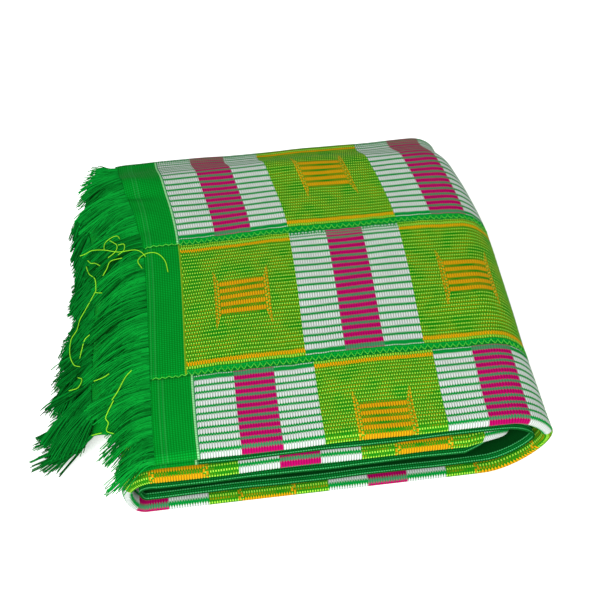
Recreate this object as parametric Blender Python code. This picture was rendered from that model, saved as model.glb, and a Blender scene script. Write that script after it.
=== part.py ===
"""Folded strip-woven pagne cloth, about 70 cm wide, at rest on a flat surface.

Seven woven strips are sewn edge to edge. The cloth is folded back and forth across its strips
into a band of three layers, and the band is then rolled flat into a pile of five runs.
A sheet place is given by two lengths: u, in pattern blocks along the strips from the header
line, and w, in millimetres across them from the back selvedge.
All sizes are in millimetres until a mesh is made, and the pile's front faces -Y.
"""

import math
from typing import NamedTuple

import bmesh
import bpy
import numpy as np
from mathutils import Vector

MM = 0.001

# Cloth
SHEET = 1.5
SEAM_GAP = 0.3
STRIP_COUNT = 7
STRIP_PITCH = 99.6
FIRST_STRIP = 97.0
BLOCK = 62.7
HALF_SHEET = SHEET / 2
NORMAL_STEP = 0.4

# Band: the cloth folded across its strips, seen along X
BACK_EDGE_Y = 97.0
FRONT_NOSE_Y = -147.0
BACK_NOSE_Y = 70.0
NOSE_BULGE = 2.6
NOSE_LENGTH = 8.2
FLAT_STEP = 60.0
NOSE_STEPS = 4
SINKING_MARKS_Y = (-133.0, -119.0, -105.0, 58.0)
SAG_MARKS_Y = (90.0, 82.0, 70.0, 34.0)

# Places across the pile where the runs start to sink towards their edges
BACK_SHOULDER_Y = 58.0
FRONT_SHOULDER_Y = -105.0
RECESS_START_Y = -20.0

# Swell of the pile between its edges
SWELL = 0.11
SWELL_CENTRE = (78.0, -35.0)
SWELL_HALF = (150.0, 135.0)

# Skew of the whole pile, as its ends lean over towards the left
SKEW_BACK = -8.0
SKEW_FRONT = -5.0


class Heights(NamedTuple):
    """Height of one sheet's middle at the back edge, in the middle and at the front nose."""

    back: float
    middle: float
    front: float


class Run(NamedTuple):
    """One straight stretch of the rolled band, from its first end to its last."""

    u_from: float
    x_from: float
    u_to: float
    x_to: float
    outer: Heights
    inner: Heights
    recess: float


class Turn(NamedTuple):
    """The fold between one run and the next: the tips of its outer and inner sheet, and how far
    the tips draw in (or, below zero, out) towards the pile's back and front edges."""

    tip_outer: float
    tip_inner: float
    tip_share: float
    pinch: float
    back_draw: float
    front_draw: float


RUNS = (
    Run(-0.26, -16.5, 2.55, 160.0, Heights(34.0, 48.8, 47.0), Heights(27.0, 41.8, 35.8), 0.0),
    Run(3.76, 150.0, 6.55, -25.0, Heights(0.75, 0.75, 0.75), Heights(7.6, 7.6, 8.4), 3.0),
    Run(7.38, -20.0, 9.93, 140.0, Heights(20.0, 38.2, 33.0), Heights(13.2, 31.4, 20.6), 0.0),
    Run(11.02, 140.0, 13.49, -15.0, Heights(7.0, 11.0, 10.4), Heights(12.0, 17.8, 13.6), 21.0),
    Run(14.05, -15.0, 16.5, 138.0, Heights(13.0, 28.0, 18.4), Heights(12.0, 21.2, 13.2), 32.0),
)
TURNS = (
    Turn(181.2, 172.0, 0.62, 0.30, 3.2, -4.3),
    Turn(-38.0, -29.5, 0.60, 0.50, 3.0, 1.0),
    Turn(164.0, 154.0, 0.60, 0.45, 3.0, -1.0),
    Turn(-25.0, -19.0, 0.50, 0.55, 2.0, 1.0),
)
TURN_LEAVE = 0.62
TURN_RETURN = 0.5
TURN_STEPS = 8
RUN_STEPS = 2

# The header end of the inner layers hangs down over the left folds
DRAPE_U = -1.25
DRAPE_END_INNER = (-55.0, 4.5)
DRAPE_END_OUTER = (-62.0, 6.5)
DRAPE_REACH = 19.0
DRAPE_HANG = 0.5
DRAPE_STEPS = 4
DRAPE_DRAW = 5.0
DRAPE_DRAW_START_Y = -70.0
DRAPE_DRAW_END_Y = 50.0


class EdgePlace(NamedTuple):
    """Where the cut end of the cloth lies, at a share of the strips' count from the back."""

    strips: float
    u: float


HEADER_EDGE = (
    EdgePlace(0.0, -0.50),
    EdgePlace(0.5, -0.38),
    EdgePlace(1.0, -0.30),
    EdgePlace(2.85, -0.30),
    EdgePlace(3.15, -0.93),
    EdgePlace(4.70, -0.95),
    EdgePlace(4.95, -1.18),
    EdgePlace(6.52, -1.18),
    EdgePlace(6.80, -0.45),
    EdgePlace(7.0, -0.45),
)


class Fringe(NamedTuple):
    """One row of cut warp ends: the strips it spans, its locks, and their reach and the height
    of their tips at the row's marks."""

    name: str
    from_strips: float
    to_strips: float
    locks: int
    reaches: tuple
    sideways: float
    end_heights: tuple


BACKING_WIDTH = 2.6
BACKING_GAP = 0.8
ROW_MARKS = (0.0, 0.12, 1.0)
FRINGES = (
    Fringe("fringe_top", 0.02, 2.42, 54, (14.0, 17.0, 21.0), -5.0, (30.0, 41.5, 43.5)),
    Fringe("fringe_middle", 3.17, 4.50, 30, (24.0, 23.0, 8.0), -8.0, (8.0, 8.0, 8.0)),
    Fringe("fringe_bottom", 4.98, 6.49, 34, (9.0, 11.0, 27.0), -7.0, (0.0, 0.0, 0.0)),
)
LOCK_ROOT_SHARE = 0.5
LOCK_SHAPE = ((0.34, 0.80, 0.30), (0.72, 0.58, 0.74))
LOCK_TIP = 0.30
REACH_SPREAD = 0.4
SIDE_SPREAD = 0.5
HEIGHT_SPREAD = 2.0
UP = np.array((0.0, 0.0, 1.0))
SEED = 11

GREEN = (0.012, 0.235, 0.045, 1.0)
STRIP_COLOURS = (
    (0.72, 0.66, 0.68, 1.0),
    (0.20, 0.42, 0.02, 1.0),
)
ROUGHNESS = 0.8


def smooth(share):
    """A soft step from 0 to 1 as share goes from 0 to 1."""
    held = np.clip(share, 0.0, 1.0)
    return held * held * (3.0 - 2.0 * held)


def height_at(heights, y):
    """A sheet's height where it crosses y, sinking to its edge heights."""
    back = smooth((y - BACK_SHOULDER_Y) / (BACK_EDGE_Y - BACK_SHOULDER_Y))
    front = smooth((FRONT_SHOULDER_Y - y) / (FRONT_SHOULDER_Y - FRONT_NOSE_Y))
    sunk = back * (heights.back - heights.middle) + front * (heights.front - heights.middle)
    return heights.middle + sunk


def layer_height(run, y, layer):
    """Height of layer 0 (outer) to 2 (inner) of a run."""
    outer = height_at(run.outer, y)
    inner = height_at(run.inner, y)
    return outer + (inner - outer) * layer / 2.0


def bezier(points, t):
    """A cubic curve through its first and last points, as x and z at each t."""
    a, b, c, d = points
    s = 1.0 - t
    terms = (s**3, 3.0 * s * s * t, 3.0 * s * t * t, t**3)
    x = sum(weight * point[0] for weight, point in zip(terms, (a, b, c, d)))
    z = sum(weight * point[1] for weight, point in zip(terms, (a, b, c, d)))
    return x, z


def turn_tip(turn, before, after, y, layer):
    """Where a turn's sheet reaches furthest: x, and a height between its two runs."""
    front = turn.front_draw * (y / FRONT_NOSE_Y) ** 2
    back = turn.back_draw * (y / BACK_EDGE_Y) ** 2
    drawn = np.where(y < 0.0, front, back)
    outward = np.sign(turn.tip_outer)
    x = turn.tip_outer + (turn.tip_inner - turn.tip_outer) * layer / 2.0 - outward * drawn
    low = np.minimum(before, after)
    high = np.maximum(before, after)
    return x, low + (high - low) * turn.tip_share


def turn_path(index, y, layer, t):
    """x and z of a turn's sheet, t from 0 at the run before to 1 at the run after."""
    first, last, turn = RUNS[index], RUNS[index + 1], TURNS[index]
    z_first = layer_height(first, y, layer)
    z_last = layer_height(last, y, layer)
    tip_x, tip_z = turn_tip(turn, z_first, z_last, y, layer)
    start = (first.x_to, z_first)
    leave = (first.x_to + (tip_x - first.x_to) * TURN_LEAVE, z_first)
    over = (tip_x, tip_z + (z_first - tip_z) * turn.pinch)
    tip = (tip_x, tip_z)
    under = (tip_x, tip_z + (z_last - tip_z) * turn.pinch)
    reach = (last.x_from + (tip_x - last.x_from) * TURN_RETURN, z_last)
    end = (last.x_from, z_last)
    x_a, z_a = bezier((start, leave, over, tip), np.clip(2.0 * t, 0.0, 1.0))
    x_b, z_b = bezier((tip, under, reach, end), np.clip(2.0 * t - 1.0, 0.0, 1.0))
    return np.where(t < 0.5, x_a, x_b), np.where(t < 0.5, z_a, z_b)


def drape_path(y, layer, t):
    """x and z of the header end hanging over the left folds, t from 0 at the top run."""
    z_top = layer_height(RUNS[0], y, layer)
    outward = 1.0 - layer / 2.0
    drawn = smooth((y - DRAPE_DRAW_START_Y) / (DRAPE_DRAW_END_Y - DRAPE_DRAW_START_Y))
    x_end = DRAPE_END_INNER[0] + (DRAPE_END_OUTER[0] - DRAPE_END_INNER[0]) * outward
    x_end = x_end + DRAPE_DRAW * drawn
    z_end = DRAPE_END_INNER[1] + (DRAPE_END_OUTER[1] - DRAPE_END_INNER[1]) * outward
    start = (RUNS[0].x_from, z_top)
    leave = (RUNS[0].x_from - DRAPE_REACH, z_top)
    fall = (x_end, z_end + (z_top - z_end) * DRAPE_HANG)
    return bezier((start, leave, fall, (x_end, z_end)), t)


def roll_place(u, y, layer):
    """x and z of the rolled sheet at u blocks along it."""
    x, z = drape_path(y, layer, np.clip((RUNS[0].u_from - u) / (RUNS[0].u_from - DRAPE_U), 0, 1))
    for index, run in enumerate(RUNS):
        share = (u - run.u_from) / (run.u_to - run.u_from)
        inside = u >= run.u_from
        x = np.where(inside, run.x_from + (run.x_to - run.x_from) * share, x)
        z = np.where(inside, layer_height(run, y, layer), z)
        if index == len(TURNS):
            break
        after = RUNS[index + 1]
        t = np.clip((u - run.u_to) / (after.u_from - run.u_to), 0.0, 1.0)
        turn_x, turn_z = turn_path(index, y, layer, t)
        beyond = u >= run.u_to
        x = np.where(beyond, turn_x, x)
        z = np.where(beyond, turn_z, z)
    return x, z


def recess_at(u, y):
    """How far a hidden run's front lies behind the front line."""
    stations = []
    depths = []
    for run in RUNS:
        stations += [run.u_from, run.u_to]
        depths += [run.recess, run.recess]
    depth = np.interp(u, stations, depths)
    return depth * smooth((RECESS_START_Y - y) / (RECESS_START_Y - FRONT_NOSE_Y))


def swell_at(x, y):
    """Share by which the pile is fuller than at its edges."""
    across = np.clip(np.abs(y - SWELL_CENTRE[1]) / SWELL_HALF[1], 0.0, 1.0)
    along = np.clip(np.abs(x - SWELL_CENTRE[0]) / SWELL_HALF[0], 0.0, 1.0)
    return SWELL * np.cos(across * math.pi / 2.0) * np.cos(along * math.pi / 2.0)


def skew_at(y):
    """Sideways lean of the pile's edges."""
    back = SKEW_BACK * smooth(y / BACK_EDGE_Y)
    front = SKEW_FRONT * smooth(y / FRONT_NOSE_Y)
    return np.where(y > 0.0, back, front)


def band_place(w):
    """y and layer of the cloth at w millimetres from its back selvedge."""
    top = BACK_EDGE_Y - FRONT_NOSE_Y
    middle = top + NOSE_LENGTH
    turned = middle + BACK_NOSE_Y - FRONT_NOSE_Y
    bottom = turned + NOSE_LENGTH
    front_angle = math.pi * np.clip((w - top) / NOSE_LENGTH, 0.0, 1.0)
    back_angle = math.pi * np.clip((w - turned) / NOSE_LENGTH, 0.0, 1.0)
    y = np.where(w < top, BACK_EDGE_Y - w, FRONT_NOSE_Y - NOSE_BULGE * np.sin(front_angle))
    y = np.where(w > middle, FRONT_NOSE_Y + w - middle, y)
    y = np.where(w > turned, BACK_NOSE_Y + NOSE_BULGE * np.sin(back_angle), y)
    y = np.where(w > bottom, BACK_NOSE_Y - (w - bottom), y)
    layer = (1.0 - np.cos(front_angle)) / 2.0 + (1.0 - np.cos(back_angle)) / 2.0
    return y, layer


def sheet_place(u, w):
    """Points of the sheet's middle, as an array ending in x, y, z."""
    y, layer = band_place(w)
    y = y + recess_at(u, y)
    x, z = roll_place(u, y, layer)
    z = HALF_SHEET + (z - HALF_SHEET) * (1.0 + swell_at(x, y))
    return np.stack(np.broadcast_arrays(x + skew_at(y), y, z), axis=-1)


def sheet_normal(u, w):
    """Unit normals of the sheet, found from points close beside it."""
    along = sheet_place(u + NORMAL_STEP / BLOCK, w) - sheet_place(u - NORMAL_STEP / BLOCK, w)
    across = sheet_place(u, w + NORMAL_STEP) - sheet_place(u, w - NORMAL_STEP)
    normal = np.cross(along, across)
    return normal / np.linalg.norm(normal, axis=-1, keepdims=True)


def strip_span(index):
    """First and last w of a strip, with half a seam gap left at each sewn side."""
    start = 0.0 if index == 0 else FIRST_STRIP + (index - 1) * STRIP_PITCH
    end = FIRST_STRIP + index * STRIP_PITCH
    first = start if index == 0 else start + SEAM_GAP / 2.0
    last = end if index == STRIP_COUNT - 1 else end - SEAM_GAP / 2.0
    return first, last


def strips_to_w(strips):
    """w at a number of strips from the back selvedge."""
    return strips * FIRST_STRIP if strips < 1.0 else FIRST_STRIP + (strips - 1.0) * STRIP_PITCH


def header_u(w):
    """u of the cloth's cut end at each w."""
    places = [strips_to_w(row.strips) for row in HEADER_EDGE]
    return np.interp(w, places, [row.u for row in HEADER_EDGE])


def nose_places():
    """w where each of the band's two noses starts."""
    front = BACK_EDGE_Y - FRONT_NOSE_Y
    return front, front + NOSE_LENGTH + BACK_NOSE_Y - FRONT_NOSE_Y


def crossings(y):
    """w where each of the band's three layers crosses y."""
    front, back = nose_places()
    return (
        BACK_EDGE_Y - y,
        front + NOSE_LENGTH + y - FRONT_NOSE_Y,
        back + NOSE_LENGTH + BACK_NOSE_Y - y,
    )


def strip_stations(index):
    """w of the strip's lengthwise edges, close together round a nose."""
    first, last = strip_span(index)
    marks = {first, last}
    for start in nose_places():
        inside = [w for w in np.linspace(start, start + NOSE_LENGTH, NOSE_STEPS + 1)
                  if first < w < last]
        marks.update(inside)
    shared = [strips_to_w(row.strips) for row in HEADER_EDGE]
    shared += [w for y in SINKING_MARKS_Y for w in crossings(y)]
    shared += [BACK_EDGE_Y - y for y in SAG_MARKS_Y]
    marks.update(w for w in shared if first < w < last)
    ordered = sorted(marks)
    full = [ordered[0]]
    for mark in ordered[1:]:
        steps = max(1, round((mark - full[-1]) / FLAT_STEP))
        full += list(np.linspace(full[-1], mark, steps + 1)[1:])
    return np.array(full)


def roll_stations():
    """u of the crosswise edges after the header end, close together round each turn."""
    stations = [RUNS[0].u_from]
    for index, run in enumerate(RUNS):
        stations += list(np.linspace(run.u_from, run.u_to, RUN_STEPS + 1)[1:])
        if index < len(TURNS):
            next_u = RUNS[index + 1].u_from
            stations += list(np.linspace(run.u_to, next_u, TURN_STEPS + 1)[1:])
    return np.array(stations)


def strip_grid(index):
    """u and w of every sheet point of a strip, as two arrays."""
    across = strip_stations(index)
    start = header_u(across)
    roll = roll_stations()
    shares = np.linspace(0.0, 1.0, DRAPE_STEPS + 1)[:-1]
    header = start[None, :] + (roll[0] - start)[None, :] * shares[:, None]
    u = np.vstack([header, np.repeat(roll[:, None], len(across), axis=1)])
    return u, np.repeat(across[None, :], len(u), axis=0)


def closed_sheet(name, upper, lower):
    """A closed body between two point grids of the same size."""
    rows, columns = upper.shape[:2]
    body = bmesh.new()
    tops = [[body.verts.new(upper[i, j] * MM) for j in range(columns)] for i in range(rows)]
    lows = [[body.verts.new(lower[i, j] * MM) for j in range(columns)] for i in range(rows)]
    for i in range(rows - 1):
        for j in range(columns - 1):
            body.faces.new((tops[i][j], tops[i + 1][j], tops[i + 1][j + 1], tops[i][j + 1]))
            body.faces.new((lows[i][j], lows[i][j + 1], lows[i + 1][j + 1], lows[i + 1][j]))
    for i in range(rows - 1):
        body.faces.new((tops[i][0], lows[i][0], lows[i + 1][0], tops[i + 1][0]))
        body.faces.new((tops[i][-1], tops[i + 1][-1], lows[i + 1][-1], lows[i][-1]))
    for j in range(columns - 1):
        body.faces.new((tops[0][j], tops[0][j + 1], lows[0][j + 1], lows[0][j]))
        body.faces.new((tops[-1][j], lows[-1][j], lows[-1][j + 1], tops[-1][j + 1]))
    return finish_mesh(name, body)


def finish_mesh(name, body):
    """Turns a bmesh into a smooth-shaded mesh with its faces pointing out."""
    bmesh.ops.recalc_face_normals(body, faces=body.faces[:])
    if body.calc_volume(signed=True) < 0.0:
        bmesh.ops.reverse_faces(body, faces=body.faces[:])
    mesh = bpy.data.meshes.new(name)
    body.to_mesh(mesh)
    body.free()
    mesh.shade_smooth()
    return mesh


def cloth_material(name, colour):
    """A dull woven cotton colour."""
    material = bpy.data.materials.new(name)
    material.use_nodes = True
    shader = material.node_tree.nodes["Principled BSDF"]
    shader.inputs["Base Color"].default_value = colour
    shader.inputs["Roughness"].default_value = ROUGHNESS
    shader.inputs["Metallic"].default_value = 0.0
    return material


def add_object(name, mesh, colour):
    """Links a mesh to the scene as the object of that name."""
    mesh.materials.append(cloth_material(name + "_cloth", colour))
    thing = bpy.data.objects.new(name, mesh)
    bpy.context.scene.collection.objects.link(thing)
    return thing


def build_strip(index):
    """One woven strip, folded and rolled with the others."""
    u, w = strip_grid(index)
    middle = sheet_place(u, w)
    offset = sheet_normal(u, w) * SHEET / 2.0
    name = f"strip_{index + 1}"
    mesh = closed_sheet(name, middle + offset, middle - offset)
    return add_object(name, mesh, STRIP_COLOURS[index % 2])


def lock_path(fringe, along, root, outward, chance):
    """Middle points of one lock, at a share along its row, from its root to its tip."""
    reach = np.interp(along, ROW_MARKS, fringe.reaches) * (1.0 + REACH_SPREAD * (chance[0] - 0.5))
    side = fringe.sideways * (1.0 + SIDE_SPREAD * (chance[1] - 0.5))
    end_height = np.interp(along, ROW_MARKS, fringe.end_heights)
    lifted = HEIGHT_SPREAD * chance[2] if end_height > 0.0 else 0.0
    rest = max(end_height, LOCK_TIP) + lifted
    fall = rest - root[2]
    points = []
    for share, _, fallen in LOCK_SHAPE + ((1.0, 0.0, 1.0),):
        ahead = outward * reach * share
        points.append(root + ahead + np.array((0.0, side * share * share, fall * fallen)))
    return points


def build_fringe(fringe, chances):
    """A backing strip along the cloth's cut end, with its row of locks in one body."""
    first = strips_to_w(fringe.from_strips)
    last = strips_to_w(fringe.to_strips)
    w = np.linspace(first, last, fringe.locks + 1)
    edge = header_u(w) - BACKING_GAP / BLOCK
    u = np.stack([edge, edge - BACKING_WIDTH / BLOCK])
    middle = sheet_place(u, np.stack([w, w]))
    offset = sheet_normal(u, np.stack([w, w])) * SHEET / 2.0
    body = bmesh.new()
    upper = [[body.verts.new(p * MM) for p in row] for row in middle + offset]
    lower = [[body.verts.new(p * MM) for p in row] for row in middle - offset]
    for j in range(fringe.locks):
        body.faces.new((upper[0][j], upper[1][j], upper[1][j + 1], upper[0][j + 1]))
        body.faces.new((lower[0][j], lower[0][j + 1], lower[1][j + 1], lower[1][j]))
        body.faces.new((upper[0][j], upper[0][j + 1], lower[0][j + 1], lower[0][j]))
    for j, turn in ((0, 1), (fringe.locks, -1)):
        body.faces.new((upper[0][j], lower[0][j], lower[1][j], upper[1][j])[::turn])
    for j in range(fringe.locks):
        corners = [upper[1][j], upper[1][j + 1], lower[1][j + 1], lower[1][j]]
        root = (middle[1, j] + middle[1, j + 1]) / 2.0
        outward = middle[1, j] - middle[0, j]
        outward[2] = 0.0
        outward /= np.linalg.norm(outward)
        across = middle[1, j + 1] - middle[1, j]
        faces_up = np.sign(np.dot(offset[1, j], outward + UP))
        path = lock_path(fringe, j / (fringe.locks - 1), root, outward, chances[j])
        add_lock(body, corners, path, across, faces_up)
    mesh = finish_mesh(fringe.name, body)
    return add_object(fringe.name, mesh, GREEN)


def add_lock(body, corners, path, across, faces_up):
    """Extends the quad of corners along the path to a pointed lock."""
    ring = corners
    for point, (_, wide, _) in zip(path, LOCK_SHAPE):
        side = across * wide * LOCK_ROOT_SHARE
        level = max(point[2], HALF_SHEET * wide)
        lift = UP * HALF_SHEET * wide * faces_up
        centre = np.array((point[0], point[1], level))
        places = (centre - side + lift, centre + side + lift,
                  centre + side - lift, centre - side - lift)
        step = [body.verts.new(place * MM) for place in places]
        for k in range(4):
            body.faces.new((ring[k], ring[(k + 1) % 4], step[(k + 1) % 4], step[k]))
        ring = step
    tip = body.verts.new(path[-1] * MM)
    for k in range(4):
        body.faces.new((ring[k], ring[(k + 1) % 4], tip))


def clear_scene():
    """Removes every object that a new file starts with."""
    for thing in list(bpy.data.objects):
        bpy.data.objects.remove(thing)


def centre_on_floor(things):
    """Moves all meshes so that the pile's box stands on the origin."""
    corners = [v.co for thing in things for v in thing.data.vertices]
    low = np.min(corners, axis=0)
    high = np.max(corners, axis=0)
    shift = np.array(((low[0] + high[0]) / 2.0, (low[1] + high[1]) / 2.0, low[2]))
    for thing in things:
        for vertex in thing.data.vertices:
            vertex.co -= Vector(shift)
    return shift


def main():
    """Builds the seven strips and the three fringe rows."""
    clear_scene()
    chance = np.random.default_rng(SEED)
    things = [build_strip(index) for index in range(STRIP_COUNT)]
    for fringe in FRINGES:
        things.append(build_fringe(fringe, chance.random((fringe.locks, 3))))
    shift = centre_on_floor(things)
    print("pile moved by", np.round(shift * 1000.0, 2), "mm")


main()
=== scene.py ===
"""Looks for a folded pagne cloth, sewn from seven woven strips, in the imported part's frame."""

import logging
import math
from dataclasses import dataclass
from enum import Enum, IntEnum

import bpy
import numpy as np
from mathutils import Matrix, Vector


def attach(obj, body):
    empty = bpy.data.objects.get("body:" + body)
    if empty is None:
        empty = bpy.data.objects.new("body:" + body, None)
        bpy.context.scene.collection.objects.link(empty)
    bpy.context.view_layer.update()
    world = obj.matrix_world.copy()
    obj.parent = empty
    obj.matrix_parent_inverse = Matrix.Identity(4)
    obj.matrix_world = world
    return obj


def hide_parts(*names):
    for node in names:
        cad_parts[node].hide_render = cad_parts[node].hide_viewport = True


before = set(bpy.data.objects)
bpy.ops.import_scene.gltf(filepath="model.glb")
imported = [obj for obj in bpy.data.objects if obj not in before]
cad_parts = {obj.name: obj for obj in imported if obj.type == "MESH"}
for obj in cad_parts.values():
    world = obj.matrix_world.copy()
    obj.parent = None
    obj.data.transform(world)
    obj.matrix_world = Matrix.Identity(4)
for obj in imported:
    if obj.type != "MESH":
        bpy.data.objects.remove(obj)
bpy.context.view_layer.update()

MM = 0.001
BODY = "root"
SEED = 23
LOG = logging.getLogger("pagne")

# The pile is laid out from its header line and first seam. This place in it is the frame's origin.
FRAME_ORIGIN = np.array((47.21, -26.65, 0.0))

# Places across the pile where the runs start to sink towards its edges, and the edges, in mm
BACK_SHOULDER_Y = 58.0
BACK_EDGE_Y = 97.0
FRONT_SHOULDER_Y = -105.0
FRONT_NOSE_Y = -147.0

# Width of a loom strip between its seams and length of a pattern block, in mm
STRIP_PITCH = 99.6
BLOCK = 62.7

# Keeps a length from being divided by nothing
TINY = 1e-9

# One sum or layer of a weave: its result, what is done, and the numbers or results it takes
Step = tuple[str | float | tuple[float, ...], ...]


class Slot(Enum):
    """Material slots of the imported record."""

    WHITE_MAGENTA = "cloth_white_magenta"
    GREEN_GOLD = "cloth_green_gold"
    FRINGE = "fringe_yarn"
    THREAD = "sewing_thread"


class Block(Enum):
    """The two kinds of pattern block that alternate along a strip."""

    BARS = 0
    MOTIF = 1


def linear(hex_colour: str) -> tuple[float, float, float, float]:
    """Turns an sRGB hex colour into linear light.

    Args:
        hex_colour: Six hex digits, with or without a leading mark.

    Returns:
        Red, green, blue and alpha for a shader's socket.
    """
    digits = hex_colour.lstrip("#")
    shares = [int(digits[i:i + 2], 16) / 255.0 for i in (0, 2, 4)]
    light = [c / 12.92 if c <= 0.04045 else ((c + 0.055) / 1.055) ** 2.4 for c in shares]
    return (light[0], light[1], light[2], 1.0)


def add_node(tree: bpy.types.NodeTree, kind: str, settings: dict, inputs: dict) -> bpy.types.Node:
    """Adds a node with its settings, values and links.

    Args:
        tree: The material's node tree.
        kind: Blender's name of the node type.
        settings: Attribute names and their values.
        inputs: Input names or numbers, each with a value or another node's socket.

    Returns:
        The new node.
    """
    node = tree.nodes.new(kind)
    for name, value in settings.items():
        setattr(node, name, value)
    for key, value in inputs.items():
        if isinstance(value, bpy.types.NodeSocket):
            tree.links.new(value, node.inputs[key])
        else:
            node.inputs[key].default_value = value
    return node


def smooth(share: np.ndarray) -> np.ndarray:
    """A soft step from 0 to 1 as share goes from 0 to 1."""
    held = np.clip(share, 0.0, 1.0)
    return held * held * (3.0 - 2.0 * held)


def bell(distance: np.ndarray, width: float) -> np.ndarray:
    """A soft hump, 1 at no distance and close to 0 at twice the width."""
    return np.exp(-((distance / width) ** 2))


def spread(span: tuple[float, float], draw: np.ndarray | float) -> np.ndarray | float:
    """The first number of span and, as draw goes from 0 to 1, up to the second more."""
    return span[0] + span[1] * draw


@dataclass(frozen=True)
class Heights:
    """Height of a sheet's middle at the back edge, in the middle and at the front nose, in mm."""

    back: float
    middle: float
    front: float

    def at(self, y: np.ndarray) -> np.ndarray:
        """Height where the sheet crosses y.

        Args:
            y: Places across the pile, in mm.

        Returns:
            Heights over the floor, in mm.
        """
        back = smooth((y - BACK_SHOULDER_Y) / (BACK_EDGE_Y - BACK_SHOULDER_Y))
        front = smooth((FRONT_SHOULDER_Y - y) / (FRONT_SHOULDER_Y - FRONT_NOSE_Y))
        return self.middle + back * (self.back - self.middle) + front * (self.front - self.middle)


@dataclass(frozen=True)
class Run:
    """One straight stretch of the rolled band: u in blocks and x in mm at its ends."""

    u_from: float
    x_from: float
    u_to: float
    x_to: float
    outer: Heights
    inner: Heights
    recess: float

    def height(self, y: np.ndarray, layer: np.ndarray) -> np.ndarray:
        """Height of layer 0 (outer) to 2 (inner) where it crosses y."""
        outer = self.outer.at(y)
        return outer + (self.inner.at(y) - outer) * layer / 2.0


@dataclass(frozen=True)
class Turn:
    """The fold between two runs. Tips are x of its outer and inner sheet, drawn in (or, below
    zero, out) towards the pile's back and front edges."""

    tip_outer: float
    tip_inner: float
    tip_share: float
    pinch: float
    back_draw: float
    front_draw: float


@dataclass(frozen=True)
class Crease:
    """A soft ridge or trough across the sheet: its middle, half length and width, lean and height."""

    x: float
    y: float
    half_length: float
    width: float
    lean: float
    height: float

    def at(self, x: np.ndarray, y: np.ndarray) -> np.ndarray:
        """Rise of the sheet at x and y.

        Args:
            x: Places along the pile, in mm.
            y: Places across it, in mm.

        Returns:
            The rise at each, in mm.
        """
        turn = math.radians(self.lean)
        along = (x - self.x) * math.cos(turn) + (y - self.y) * math.sin(turn)
        aside = (y - self.y) * math.cos(turn) - (x - self.x) * math.sin(turn)
        return self.height * bell(along, self.half_length) * bell(aside, self.width)


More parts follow.
